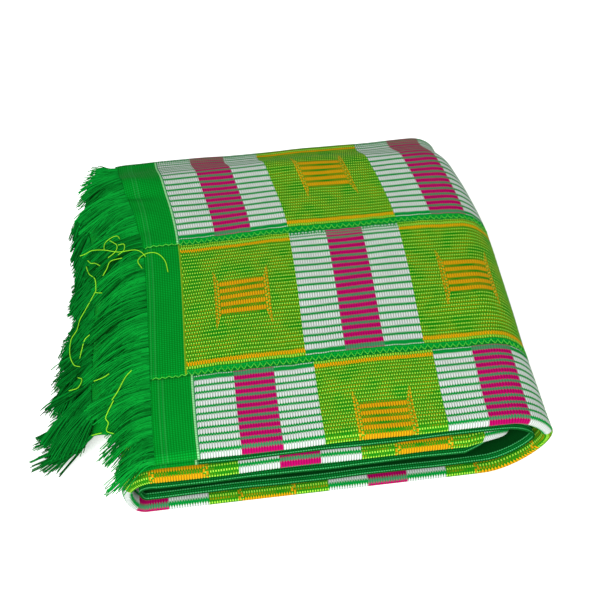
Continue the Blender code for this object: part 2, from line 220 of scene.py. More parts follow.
@dataclass(frozen=True)
class FoldedPile:
    """The flat cloth's way into the pile. A cloth place is u, in blocks along the strips from
    the header line, and w, in mm across them from the back selvedge."""

    block: float = BLOCK
    strip_pitch: float = STRIP_PITCH
    first_strip: float = 97.0
    strip_count: int = 7
    floor_level: float = 0.75
    back_edge_y: float = BACK_EDGE_Y
    front_nose_y: float = FRONT_NOSE_Y
    back_nose_y: float = 70.0
    nose_bulge: float = 2.6
    nose_length: float = 8.2
    recess_start_y: float = -20.0
    swell: float = 0.11
    swell_centre: tuple[float, float] = (78.0, -35.0)
    swell_half: tuple[float, float] = (150.0, 135.0)
    skew_back: float = -8.0
    skew_front: float = -5.0
    runs: tuple[Run, ...] = (
        Run(-0.26, -16.5, 2.55, 160.0, Heights(34.0, 48.8, 47.0), Heights(27.0, 41.8, 35.8), 0.0),
        Run(3.76, 150.0, 6.55, -25.0, Heights(0.75, 0.75, 0.75), Heights(7.6, 7.6, 8.4), 3.0),
        Run(7.38, -20.0, 9.93, 140.0, Heights(20.0, 38.2, 33.0), Heights(13.2, 31.4, 20.6), 0.0),
        Run(11.02, 140.0, 13.49, -15.0, Heights(7.0, 11.0, 10.4), Heights(12.0, 17.8, 13.6), 21.0),
        Run(14.05, -15.0, 16.5, 138.0, Heights(13.0, 28.0, 18.4), Heights(12.0, 21.2, 13.2), 32.0),
    )
    turns: tuple[Turn, ...] = (
        Turn(181.2, 172.0, 0.62, 0.30, 3.2, -4.3),
        Turn(-38.0, -29.5, 0.60, 0.50, 3.0, 1.0),
        Turn(164.0, 154.0, 0.60, 0.45, 3.0, -1.0),
        Turn(-25.0, -19.0, 0.50, 0.55, 2.0, 1.0),
    )
    turn_leave: float = 0.62
    turn_return: float = 0.5
    drape_u: float = -1.25
    drape_end_inner: tuple[float, float] = (-55.0, 4.5)
    drape_end_outer: tuple[float, float] = (-62.0, 6.5)
    drape_reach: float = 19.0
    drape_hang: float = 0.5
    drape_draw: float = 5.0
    drape_draw_from: float = -70.0
    drape_draw_to: float = 50.0
    header_edge: tuple[tuple[float, float], ...] = (
        (0.0, -0.42), (0.5, -0.40), (1.0, -0.35), (2.0, -0.32), (2.85, -0.32), (3.15, -0.93),
        (4.70, -0.95), (4.95, -1.18), (6.52, -1.18), (6.80, -0.45), (7.0, -0.45),
    )
    # Waves of the gathered cloth beside a seam: share, radians a mm, shift from seam to seam
    gather_waves: tuple[tuple[float, float, float], ...] = ((1.0, 0.74, 1.7), (0.6, 0.41, 1.0))
    gather_height: float = 0.22
    gather_width: float = 6.5
    seam_dip: float = 0.55
    seam_width: float = 1.6
    shoulder_rise: float = 0.30
    shoulder_way: float = 3.0
    # Slow waves of handled cloth: height, and radians a mm along and across the strips
    slow_waves: tuple[tuple[float, float, float], ...] = ((0.34, 0.083, 0.031),
                                                          (0.26, -0.027, 0.118))
    # One quicker wave: height, radians along and across, shift, and the turn and shift of its beat
    quick_wave: tuple[float, ...] = (0.15, 0.214, 0.052, 1.3, 0.163, 0.4)
    relief_start: float = 1.0
    relief_grows: float = 8.0
    crease_start: float = 36.0
    crease_last_u: float = 2.9
    crease_fade_u: float = 0.4
    creases: tuple[Crease, ...] = (
        Crease(-22.0, 48.0, 12.0, 4.0, -18.0, -3.2),
        Crease(-24.0, 62.0, 14.0, 6.0, -24.0, 1.8),
        Crease(-26.0, 30.0, 13.0, 5.0, -12.0, 1.4),
        Crease(-24.0, 16.0, 12.0, 4.0, -14.0, -1.5),
        Crease(-25.0, -20.0, 10.0, 4.5, -10.0, 0.9),
        Crease(-25.0, -62.0, 10.0, 5.0, -8.0, 0.8),
        Crease(60.0, 70.0, 46.0, 9.0, 6.0, 1.0),
        Crease(118.0, 58.0, 34.0, 8.0, -8.0, -0.9),
        Crease(150.0, -70.0, 26.0, 9.0, 20.0, 0.9),
        Crease(34.0, -52.0, 40.0, 10.0, 3.0, 0.7),
        Crease(100.0, -118.0, 40.0, 9.0, -3.0, 0.8),
        Crease(14.0, -124.0, 20.0, 8.0, 12.0, -0.6),
    )

    @staticmethod
    def curve(points: tuple, t: np.ndarray) -> tuple[np.ndarray, np.ndarray]:
        """A cubic curve from the first of four points to the last.

        Args:
            points: Four pairs of x and z.
            t: Shares of the way, 0 to 1.

        Returns:
            x and z at each share.
        """
        s = 1.0 - t
        terms = (s**3, 3.0 * s * s * t, 3.0 * s * t * t, t**3)
        x = sum(weight * point[0] for weight, point in zip(terms, points))
        z = sum(weight * point[1] for weight, point in zip(terms, points))
        return x, z

    def turn_path(self, index: int, y: np.ndarray, layer: np.ndarray,
                  t: np.ndarray) -> tuple[np.ndarray, np.ndarray]:
        """x and z of a turn's sheet, t from 0 at the run before to 1 at the run after.

        Args:
            index: Number of the turn, from the top.
            y: Places across the pile, in mm.
            layer: The band's layer at each, 0 outside to 2 inside.
            t: Share of the way round.

        Returns:
            x and z at each place, in mm.
        """
        first, last, turn = self.runs[index], self.runs[index + 1], self.turns[index]
        z_first = first.height(y, layer)
        z_last = last.height(y, layer)
        drawn = np.where(y < 0.0, turn.front_draw * (y / self.front_nose_y) ** 2,
                         turn.back_draw * (y / self.back_edge_y) ** 2)
        outward = math.copysign(1.0, turn.tip_outer)
        tip_x = turn.tip_outer + (turn.tip_inner - turn.tip_outer) * layer / 2.0
        tip_x = tip_x - outward * drawn
        low = np.minimum(z_first, z_last)
        tip_z = low + (np.maximum(z_first, z_last) - low) * turn.tip_share
        leave = (first.x_to + (tip_x - first.x_to) * self.turn_leave, z_first)
        over = (tip_x, tip_z + (z_first - tip_z) * turn.pinch)
        under = (tip_x, tip_z + (z_last - tip_z) * turn.pinch)
        reach = (last.x_from + (tip_x - last.x_from) * self.turn_return, z_last)
        before = self.curve(((first.x_to, z_first), leave, over, (tip_x, tip_z)),
                            np.clip(2.0 * t, 0.0, 1.0))
        after = self.curve(((tip_x, tip_z), under, reach, (last.x_from, z_last)),
                           np.clip(2.0 * t - 1.0, 0.0, 1.0))
        return np.where(t < 0.5, before[0], after[0]), np.where(t < 0.5, before[1], after[1])

    def drape_path(self, y: np.ndarray, layer: np.ndarray,
                   t: np.ndarray) -> tuple[np.ndarray, np.ndarray]:
        """x and z of the header end hanging over the left folds, t from 0 at the top run.

        Args:
            y: Places across the pile, in mm.
            layer: The band's layer at each, 0 outside to 2 inside.
            t: Share of the way down.

        Returns:
            x and z at each place, in mm.
        """
        run = self.runs[0]
        z_top = run.height(y, layer)
        outward = 1.0 - layer / 2.0
        inner, outer = self.drape_end_inner, self.drape_end_outer
        reached = (y - self.drape_draw_from) / (self.drape_draw_to - self.drape_draw_from)
        x_end = inner[0] + (outer[0] - inner[0]) * outward + self.drape_draw * smooth(reached)
        z_end = inner[1] + (outer[1] - inner[1]) * outward
        leave = (run.x_from - self.drape_reach, z_top)
        fall = (x_end, z_end + (z_top - z_end) * self.drape_hang)
        return self.curve(((run.x_from, z_top), leave, fall, (x_end, z_end)), t)

    def roll_place(self, u: np.ndarray, y: np.ndarray,
                   layer: np.ndarray) -> tuple[np.ndarray, np.ndarray]:
        """x and z of the rolled sheet at u blocks along it.

        Args:
            u: Blocks along the strips.
            y: Places across the pile, in mm.
            layer: The band's layer at each, 0 outside to 2 inside.

        Returns:
            x and z at each place, in mm.
        """
        start = self.runs[0].u_from
        hung = np.clip((start - u) / (start - self.drape_u), 0.0, 1.0)
        x, z = self.drape_path(y, layer, hung)
        for index, run in enumerate(self.runs):
            share = (u - run.u_from) / (run.u_to - run.u_from)
            inside = u >= run.u_from
            x = np.where(inside, run.x_from + (run.x_to - run.x_from) * share, x)
            z = np.where(inside, run.height(y, layer), z)
            if index == len(self.turns):
                break
            after = self.runs[index + 1]
            t = np.clip((u - run.u_to) / (after.u_from - run.u_to), 0.0, 1.0)
            turn_x, turn_z = self.turn_path(index, y, layer, t)
            beyond = u >= run.u_to
            x = np.where(beyond, turn_x, x)
            z = np.where(beyond, turn_z, z)
        return x, z

    def recess(self, u: np.ndarray, y: np.ndarray) -> np.ndarray:
        """How far a hidden run's front lies behind the front line.

        Args:
            u: Blocks along the strips.
            y: Places across the pile, in mm.

        Returns:
            The way back at each place, in mm.
        """
        stations = [place for run in self.runs for place in (run.u_from, run.u_to)]
        depths = [run.recess for run in self.runs for _ in range(2)]
        depth = np.interp(u, stations, depths)
        start = self.recess_start_y
        return depth * smooth((start - y) / (start - self.front_nose_y))

    def band_place(self, w: np.ndarray) -> tuple[np.ndarray, np.ndarray]:
        """y and layer of the cloth at w mm from its back selvedge.

        Args:
            w: Millimetres across the strips.

        Returns:
            y in mm, and the band's layer from 0 on top to 2 underneath.
        """
        top = self.back_edge_y - self.front_nose_y
        middle = top + self.nose_length
        turned = middle + self.back_nose_y - self.front_nose_y
        bottom = turned + self.nose_length
        front = math.pi * np.clip((w - top) / self.nose_length, 0.0, 1.0)
        back = math.pi * np.clip((w - turned) / self.nose_length, 0.0, 1.0)
        y = np.where(w < top, self.back_edge_y - w,
                     self.front_nose_y - self.nose_bulge * np.sin(front))
        y = np.where(w > middle, self.front_nose_y + w - middle, y)
        y = np.where(w > turned, self.back_nose_y + self.nose_bulge * np.sin(back), y)
        y = np.where(w > bottom, self.back_nose_y - (w - bottom), y)
        return y, (1.0 - np.cos(front)) / 2.0 + (1.0 - np.cos(back)) / 2.0

    def seams(self) -> list[float]:
        """w of the six seams, from the back."""
        return [self.first_strip + k * self.strip_pitch for k in range(self.strip_count - 1)]

    def pucker(self, u: np.ndarray, w: np.ndarray) -> np.ndarray:
        """Small rise and fall of the cloth where the stitches gather it beside a seam.

        Args:
            u: Blocks along the strips.
            w: Millimetres across them.

        Returns:
            The rise at each place, in mm.
        """
        along = u * self.block
        rise = np.zeros(np.broadcast(u, w).shape)
        for number, seam in enumerate(self.seams()):
            wave = sum(share * np.sin(along * turn + number * shift)
                       for share, turn, shift in self.gather_waves)
            rise = rise + self.gather_height * wave * bell(w - seam, self.gather_width)
            rise = rise - self.seam_dip * bell(w - seam, self.seam_width)
            beside = np.abs(w - seam) - self.shoulder_way
            rise = rise + self.shoulder_rise * bell(beside, self.seam_width)
        return rise

    def waviness(self, u: np.ndarray, w: np.ndarray) -> np.ndarray:
        """Slow unevenness of handled cloth, in mm.

        Args:
            u: Blocks along the strips.
            w: Millimetres across them.

        Returns:
            The rise at each place, in mm.
        """
        along = u * self.block
        slow = sum(height * np.sin(along * turn + w * turn_across)
                   for height, turn, turn_across in self.slow_waves)
        height, turn, turn_across, shift, beat, beat_shift = self.quick_wave
        quick = height * np.sin(along * turn + w * turn_across + shift)
        return slow + quick * np.sin(w * beat + beat_shift)

    def place(self, u: np.ndarray, w: np.ndarray) -> np.ndarray:
        """Where the middle of the sheet lies.

        Args:
            u: Blocks along the strips.
            w: Millimetres across them, an array of the same shape.

        Returns:
            Pile places in mm, in an array ending in x, y, z.
        """
        y, layer = self.band_place(w)
        y = y + self.recess(u, y)
        x, z = self.roll_place(u, y, layer)
        across = np.clip(np.abs(y - self.swell_centre[1]) / self.swell_half[1], 0.0, 1.0)
        along = np.clip(np.abs(x - self.swell_centre[0]) / self.swell_half[0], 0.0, 1.0)
        fuller = self.swell * np.cos(across * math.pi / 2.0) * np.cos(along * math.pi / 2.0)
        z = self.floor_level + (z - self.floor_level) * (1.0 + fuller)
        back = self.skew_back * smooth(y / self.back_edge_y)
        front = self.skew_front * smooth(y / self.front_nose_y)
        x = x + np.where(y > 0.0, back, front)
        z = z + self.surface_relief(u, w, x, y, z)
        return np.stack(np.broadcast_arrays(x, y, z), axis=-1)

    def surface_relief(self, u: np.ndarray, w: np.ndarray, x: np.ndarray, y: np.ndarray,
                       z: np.ndarray) -> np.ndarray:
        """Rise of the sheet over its plain folds, held back close to the floor.

        Args:
            u: Blocks along the strips.
            w: Millimetres across them.
            x: Where each place lies along the pile, in mm.
            y: Where it lies across the pile.
            z: Its height in the plain folds.

        Returns:
            The rise at each place, in mm.
        """
        lifted = smooth((z - self.relief_start) / self.relief_grows)
        shape = self.waviness(u, w) + self.pucker(u, w)
        on_top = smooth((z - self.crease_start) / self.relief_grows)
        on_top = on_top * smooth((self.crease_last_u - u) / self.crease_fade_u)
        for crease in self.creases:
            shape = shape + on_top * crease.at(x, y)
        return lifted * shape

    def normal(self, u: np.ndarray, w: np.ndarray, step: float = 0.4) -> np.ndarray:
        """Unit normals of the sheet, from points close beside each place.

        Args:
            u: Blocks along the strips.
            w: Millimetres across them.
            step: How far away those points are, in mm.

        Returns:
            One unit vector for each place.
        """
        along = self.place(u + step / self.block, w) - self.place(u - step / self.block, w)
        across = self.place(u, w + step) - self.place(u, w - step)
        normal = np.cross(along, across)
        return normal / np.linalg.norm(normal, axis=-1, keepdims=True)

    def strip_edge(self, strips: float) -> float:
        """w at a number of strips from the back selvedge.

        Args:
            strips: The number, with its part of a strip.

        Returns:
            Millimetres across the cloth.
        """
        if strips < 1.0:
            return strips * self.first_strip
        return self.first_strip + (strips - 1.0) * self.strip_pitch

    def header_u(self, w: np.ndarray) -> np.ndarray:
        """u of the cloth's cut end at each w."""
        places = [self.strip_edge(strips) for strips, _ in self.header_edge]
        return np.interp(w, places, [u for _, u in self.header_edge])


PILE = FoldedPile()


def to_frame(points: np.ndarray) -> np.ndarray:
    """Turns pile places in mm into frame places in metres."""
    return (points - FRAME_ORIGIN) * MM


def mesh_object(name: str, points: np.ndarray, faces: np.ndarray,
                uvs: np.ndarray | None = None) -> bpy.types.Object:
    """Makes a smooth mesh object from pile places.

    Args:
        name: The piece's name.
        points: Pile places in mm, one row each.
        faces: Corner numbers, one row of three or four for each face.
        uvs: One pair for each point, or None.

    Returns:
        The object, linked to the scene.
    """
    mesh = bpy.data.meshes.new(name)
    mesh.from_pydata(to_frame(points).tolist(), [], faces.tolist())
    if uvs is not None:
        layer = mesh.uv_layers.new(name="cloth_place")
        corners = np.zeros(len(mesh.loops), dtype=np.int32)
        mesh.loops.foreach_get("vertex_index", corners)
        layer.data.foreach_set("uv", uvs[corners].astype(np.float32).ravel())
    mesh.shade_smooth()
    thing = bpy.data.objects.new(name, mesh)
    bpy.context.scene.collection.objects.link(thing)
    return thing


class Tubes:
    """Many thin threads gathered into one mesh of few-sided tubes."""

    # A thread that rises more steeply than this takes its sideways way from x in place of z
    steep = 0.9

    def __init__(self, sides: int = 3) -> None:
        """Starts empty, with that many sides to each thread.

        Args:
            sides: Sides of each thread, three or more.
        """
        self.sides = sides
        self.points: list[np.ndarray] = []
        self.faces: list[np.ndarray] = []
        self.shades: list[np.ndarray] = []
        self.count = 0

    def add(self, path: np.ndarray, radii: np.ndarray, shade: float) -> None:
        """Adds one thread.

        Args:
            path: Middle points in mm, from root to tip.
            radii: The radius at each, in mm.
            shade: A number from 0 to 1 that the yarn's colour varies by.
        """
        ahead = np.gradient(path, axis=0)
        ahead /= np.linalg.norm(ahead, axis=1, keepdims=True) + TINY
        helper = np.where(np.abs(ahead[:, 2:3]) > self.steep, (1.0, 0.0, 0.0), (0.0, 0.0, 1.0))
        side = np.cross(ahead, helper)
        side /= np.linalg.norm(side, axis=1, keepdims=True) + TINY
        upward = np.cross(side, ahead)
        rings = len(path)
        angles = np.arange(self.sides) * 2.0 * math.pi / self.sides + math.pi / 2.0
        circle = (np.cos(angles)[None, :, None] * side[:, None, :]
                  + np.sin(angles)[None, :, None] * upward[:, None, :])
        around = path[:, None, :] + circle * radii[:, None, None]
        first = self.count + np.arange(rings - 1)[:, None] * self.sides
        here = np.arange(self.sides)[None, :]
        following = (here + 1) % self.sides
        quads = np.stack((first + here, first + following, first + self.sides + following,
                          first + self.sides + here), axis=-1).reshape(-1, 4)
        self.points.append(around.reshape(-1, 3))
        self.faces.append(quads)
        along = np.repeat(np.linspace(0.0, 1.0, rings), self.sides)
        self.shades.append(np.stack((np.full(rings * self.sides, shade), along), axis=1))
        self.count += rings * self.sides

    def build(self, name: str) -> bpy.types.Object:
        """Makes the mesh object, with the shade and the share of the length as its UV map."""
        return mesh_object(name, np.vstack(self.points), np.vstack(self.faces),
                           np.vstack(self.shades))


@dataclass(frozen=True)
class Yarn:
    """One yarn's colour where it dips between two ribs and where it rides over one. For a plain yarn
    the dip is a darker copy, painted shade between the ribs; for a dotted yarn it is the ground that
    shows between its dots.
    """

    dip: str
    crest: str


@dataclass(frozen=True)
class StripWeave:
    """Hand-loomed cotton with supplementary weft: floating weft bars stand on a fine ribbed
    ground, so the eye sees soft matt bars with toothed edges and rows of small dots. Places in
    it are in mm, and a step that compares has the middle of a mark and half of its width."""

    name: str
    first_block: Block
    ground: Yarn = Yarn("#007426", "#0A8C38")
    ground_under_magenta: Yarn = Yarn("#2C6E44", "#46865C")
    white: Yarn = Yarn("#78907E", "#D8D8DA")
    magenta: Yarn = Yarn("#820440", "#B20460")
    motif_ground: Yarn = Yarn("#146408", "#248C10")
    olive_ground: Yarn = Yarn("#267808", "#9A7C06")
    dots: Yarn = Yarn("#147408", "#9CD43C")
    orange: Yarn = Yarn("#7C7A04", "#E09804")
    gold: Yarn = Yarn("#846406", "#DC9E0A")
    header: Yarn = Yarn("#006A14", "#00A034")
    light_line: Yarn = Yarn("#6CB87C", "#A8E0A4")
    gold_line: Yarn = Yarn("#587C0C", "#84A41C")
    dark_line: str = "#2C6A44"
    border: Yarn = Yarn("#00741C", "#06A03A")
    roughness: float = 0.9
    # The real ribs are about 1 mm apart. They are drawn coarser, so that the dots stay apart.
    rib_pitch: float = 1.35
    pick_pitch: float = 1.33
    bar_pitch: float = 5.3
    first_bar: float = 10.2
    bars: float = 16.0
    bar_share: float = 0.66
    block: float = BLOCK
    strip: float = STRIP_PITCH
    header_pick: str = "#5CC07C"
    edge_dot: str = "#50BC74"
    # Slow clouds of a handled cloth and quick slubs of its yarn: scale over mm, detail, strength
    clouds: tuple[float, float, float] = (0.09, 3.0, 0.16)
    slubs: tuple[float, float, float] = (0.9, 2.0, 0.2)
    plain_brightness: float = 0.82
    cloud_edges: tuple[float, float] = (0.35, 0.65)
    relief_strength: float = 0.5
    relief_depth: float = 0.0004
    specular: float = 0.03
    # Where across the strip the front border begins, where the painted fold shade before it begins (a
    # dark green painted over the cloth that lies in the folds' shade), and how strongly the
    # selvedge's lines show
    border_start: float = 97.0
    fold_shade_start: float = 200.0
    fold_shade_green: str = "#013A10"
    edge_line: float = 0.0
    border_back: float = 2.6
    # How far a bar's edge swings to and fro with the ribs, in mm
    tooth: float = 0.55
    # Lines that run along the strip: how far across it their middle is, and half of their width
    thin_bar: tuple[float, float] = (5.4, 0.5)
    narrow_bar: tuple[float, float] = (7.75, 0.85)
    dash_band: tuple[float, float] = (96.4, 0.36)
    dot_band: tuple[float, float] = (3.5, 0.42)
    orange_back: tuple[float, float] = (7.4, 0.95)
    orange_front: tuple[float, float] = (93.3, 1.2)
    thin_back: tuple[float, float] = (4.5, 0.4)
    thin_front: tuple[float, float] = (96.2, 0.4)
    # The same for the selvedge's two lines, from its edge
    edge_band: tuple[float, float] = (0.35, 0.3)
    inner_band: tuple[float, float] = (3.4, 0.3)
    # Lines across the strip beside the header line, and two pale picks in the header
    light_band: tuple[float, float] = (-0.6, 0.55)
    dark_band: tuple[float, float] = (0.3, 0.25)
    gold_band: tuple[float, float] = (-0.1, 0.45)
    pale_pick_a: tuple[float, float] = (-15.9, 0.45)
    pale_pick_b: tuple[float, float] = (-18.0, 0.4)
    pale_share: float = 0.07
    # Pitch of the dashes and dots in the thin lines, and the share that shows
    dash_pitch: float = 1.3
    dash_share: float = 0.62
    dot_pitch: float = 2.0
    dot_share: float = 0.5
    # Rows of the green block: the dotted share of a row, and the olive line's place and half
    dotted_share: float = 0.36
    olive_line: tuple[float, float] = (0.60, 0.16)
    # The gold ladder: its middle in the block and in bars, its rungs, and the braids beside them
    ladder_share: float = 0.515
    ladder_bar: float = 7.36
    rung_half: float = 12.2
    rung_clear: float = 12.4
    rung_share: float = 0.60
    first_rung: float = 5.0
    last_rung: float = 10.0
    flare_from: float = 12.6
    flare: float = 0.26
    braid_half: float = 21.5
    braid_share: float = 0.68
    braid_taper: float = -0.085
    inner_strand: float = 0.75
    outer_strand: float = 2.35
    strand_half: float = 0.55
    # Relief of the ribs and the picks beside that of a bar
    rib_relief: float = 0.35
    pick_relief: float = 0.12
    light_dots: tuple[float, float] = (0.75, 0.25)

    def dotted(self) -> tuple[Yarn, ...]:
        """The yarns that show as separate dots, as they pass over every other rib."""
        return self.dots, self.olive_ground, self.orange

    def place_steps(self) -> tuple[Step, ...]:
        """Sums that turn the UV map into millimetres, ribs and blocks.

        Returns:
            The steps, each after those that it reads.
        """
        return (
            ("along", "MULTIPLY", "u", self.block),
            ("across", "MULTIPLY", "v", self.strip),
            ("rib_wave", "PINGPONG", "along", self.rib_pitch / 2.0),
            ("rib", "MULTIPLY", "rib_wave", 2.0 / self.rib_pitch),
            ("pick_wave", "PINGPONG", "across", self.pick_pitch / 2.0),
            ("pick", "MULTIPLY", "pick_wave", 2.0 / self.pick_pitch),
            ("tooth", "MULTIPLY_ADD", "rib", 2.0 * self.tooth, -self.tooth),
            ("ragged", "ADD", "across", "tooth"),
            ("share", "FRACT", "u"),
            ("block_number", "FLOOR", "u"),
            ("odd", "FLOORED_MODULO", "block_number", 2.0),
            ("motif_block", "COMPARE", "odd", 1.0 - self.first_block.value, 0.1),
            ("body", "GREATER_THAN", "u", 0.0),
        )

    def bar_steps(self) -> tuple[Step, ...]:
        """Sums that mark the weft bars, the thin lines beside them and the magenta third.

        Returns:
            The steps, each after those that it reads.
        """
        return (
            ("bar_way", "SUBTRACT", "ragged", self.first_bar),
            ("bar_count", "DIVIDE", "bar_way", self.bar_pitch),
            ("bar_phase", "FRACT", "bar_count"),
            ("bar_mark", "LESS_THAN", "bar_phase", self.bar_share),
            ("bar_after", "GREATER_THAN", "bar_count", 0.0),
            ("bar_before", "LESS_THAN", "bar_count", self.bars),
            ("bar_inside", "MULTIPLY", "bar_after", "bar_before"),
            ("full_bars", "MULTIPLY", "bar_mark", "bar_inside"),
            ("third", "COMPARE", "share", 0.5, 1.0 / 6.0),
            ("thin_bar", "COMPARE", "ragged", *self.thin_bar),
            ("narrow_bar", "COMPARE", "ragged", *self.narrow_bar),
            ("dash_turn", "MULTIPLY", "along", 1.0 / self.dash_pitch),
            ("dash_phase", "FRACT", "dash_turn"),
            ("dash", "LESS_THAN", "dash_phase", self.dash_share),
            ("dash_band", "COMPARE", "across", *self.dash_band),
            ("dash_line", "MULTIPLY", "dash_band", "dash"),
            ("dot_turn", "MULTIPLY", "along", 1.0 / self.dot_pitch),
            ("dot_phase", "FRACT", "dot_turn"),
            ("dot", "LESS_THAN", "dot_phase", self.dot_share),
            ("dot_or_third", "MAXIMUM", "dot", "third"),
            ("dot_band", "COMPARE", "across", *self.dot_band),
            ("dot_line", "MULTIPLY", "dot_band", "dot_or_third"),
            ("lines_a", "MAXIMUM", "thin_bar", "narrow_bar"),
            ("lines_b", "MAXIMUM", "dash_line", "dot_line"),
            ("lines", "MAXIMUM", "lines_a", "lines_b"),
            ("bar_marks", "MAXIMUM", "full_bars", "lines"),
        )

    def motif_steps(self) -> tuple[Step, ...]:
        """Sums that mark the dotted rows, the orange rows and the gold ladder motif.

        Returns:
            The steps, each after those that it reads.
        """
        row_pitch = self.bar_pitch / 2.0
        middle = self.first_bar + self.bar_pitch * self.ladder_bar
        return (
            ("row_way", "SUBTRACT", "across", self.first_bar),
            ("row_count", "DIVIDE", "row_way", row_pitch),
            ("row_phase", "FRACT", "row_count"),
            ("row_number", "FLOOR", "row_count"),
            ("row_odd", "FLOORED_MODULO", "row_number", 2.0),
            ("along_row", "MULTIPLY_ADD", "row_odd", self.rib_pitch / 2.0, "along"),
            ("row_rib", "PINGPONG", "along_row", self.rib_pitch / 2.0),
            ("rib_on", "GREATER_THAN", "row_rib", self.rib_pitch / 4.0),
            ("dotted", "LESS_THAN", "row_phase", self.dotted_share),
            ("olive_row", "COMPARE", "row_phase", *self.olive_line),
            ("orange_back", "COMPARE", "ragged", *self.orange_back),
            ("orange_front", "COMPARE", "ragged", *self.orange_front),
            ("orange", "MAXIMUM", "orange_back", "orange_front"),
            ("thin_back", "COMPARE", "across", *self.thin_back),
            ("thin_front", "COMPARE", "across", *self.thin_front),
            ("thin_rows", "MAXIMUM", "thin_back", "thin_front"),
            ("from_middle", "SUBTRACT", "share", self.ladder_share),
            ("aside", "ABSOLUTE", "from_middle"),
            ("aside_mm", "MULTIPLY", "aside", self.block),
            ("inside_gold", "LESS_THAN", "aside_mm", self.rung_half),
            ("gold_phase", "LESS_THAN", "bar_phase", self.rung_share),
            ("gold_after", "GREATER_THAN", "bar_count", self.first_rung),
            ("gold_before", "LESS_THAN", "bar_count", self.last_rung),
            ("gold_rows", "MULTIPLY", "gold_after", "gold_before"),
            ("gold_on", "MULTIPLY", "gold_rows", "gold_phase"),
            ("gold_bars", "MULTIPLY", "gold_on", "inside_gold"),
            ("up_down", "SUBTRACT", "across", middle),
            ("up_down_mm", "ABSOLUTE", "up_down"),
            ("beyond", "SUBTRACT", "up_down_mm", self.flare_from),
            ("tip_way", "MAXIMUM", "beyond", 0.0),
            ("flare", "MULTIPLY", "tip_way", self.flare),
            ("reach", "SUBTRACT", "aside_mm", self.rung_half),
            ("column", "SUBTRACT", "reach", "flare"),
            ("column_end", "LESS_THAN", "up_down_mm", self.braid_half),
            ("weave_turn", "DIVIDE", "across", row_pitch),
            ("weave_phase", "FRACT", "weave_turn"),
            ("inner_on", "LESS_THAN", "weave_phase", self.braid_share),
            ("weave_turn_b", "ADD", "weave_turn", 0.5),
            ("weave_phase_b", "FRACT", "weave_turn_b"),
            ("outer_on", "LESS_THAN", "weave_phase_b", self.braid_share),
            ("taper", "MULTIPLY_ADD", "tip_way", self.braid_taper, 1.0),
            ("inner_way", "MULTIPLY", "taper", self.inner_strand),
            ("outer_way", "MULTIPLY", "taper", self.outer_strand),
            ("half_strand", "MULTIPLY", "taper", self.strand_half),
            ("inner_strand", "COMPARE", "column", "inner_way", "half_strand"),
            ("outer_strand", "COMPARE", "column", "outer_way", "half_strand"),
            ("inner_mark", "MULTIPLY", "inner_strand", "inner_on"),
            ("outer_mark", "MULTIPLY", "outer_strand", "outer_on"),
            ("strands", "MAXIMUM", "inner_mark", "outer_mark"),
            ("columns", "MULTIPLY", "strands", "column_end"),
            ("between", "COMPARE", "aside_mm", 0.0, self.rung_clear),
            ("clear_rows", "MULTIPLY", "between", "gold_rows"),
            ("rows_kept", "SUBTRACT", 1.0, "clear_rows"),
            ("dots_left", "MULTIPLY", "dotted", "rows_kept"),
            ("motif_marks", "MAXIMUM", "gold_bars", "columns"),
        )

    def edge_steps(self) -> tuple[Step, ...]:
        """Sums that mark the sewn borders and the lines where the header starts.

        Returns:
            The steps, each after those that it reads.
        """
        edge, half_edge = self.edge_band
        inner, half_inner = self.inner_band
        return (
            ("border_back", "LESS_THAN", "across", self.border_back),
            ("border_front", "GREATER_THAN", "across", self.border_start),
            ("edge_band", "COMPARE", "across", self.strip - edge, half_edge),
            ("inner_band", "COMPARE", "across", self.strip - inner, half_inner),
            ("edge_bands", "MAXIMUM", "edge_band", "inner_band"),
            ("edge_dots", "MULTIPLY", "edge_bands", "dash"),
            ("edge_on", "MULTIPLY", "edge_dots", self.edge_line),
            ("borders", "MAXIMUM", "border_back", "border_front"),
            # Past its start the cloth is painted dark green: painted shade of the folds' inside
            ("fold_shade_band", "GREATER_THAN", "across", self.fold_shade_start),
            ("light_band", "COMPARE", "along", *self.light_band),
            ("light_dots", "MULTIPLY_ADD", "pick", *self.light_dots),
            ("light_line", "MULTIPLY", "light_band", "light_dots"),
            ("dark_line", "COMPARE", "along", *self.dark_band),
            ("gold_line", "COMPARE", "along", *self.gold_band),
            ("pale_pick_a", "COMPARE", "along", *self.pale_pick_a),
            ("pale_pick_b", "COMPARE", "along", *self.pale_pick_b),
            ("pale_picks", "MAXIMUM", "pale_pick_a", "pale_pick_b"),
            ("pale_on", "MULTIPLY", "pale_picks", self.pale_share),
            ("header_grain", "MULTIPLY", "rib", "pick"),
            ("relief_bars", "MAXIMUM", "bar_marks", "motif_marks"),
            ("relief_body", "MULTIPLY", "relief_bars", "body"),
            ("relief_ribs", "MULTIPLY_ADD", "rib", self.rib_relief, "relief_body"),
            ("relief", "MULTIPLY_ADD", "pick", self.pick_relief, "relief_ribs"),
        )

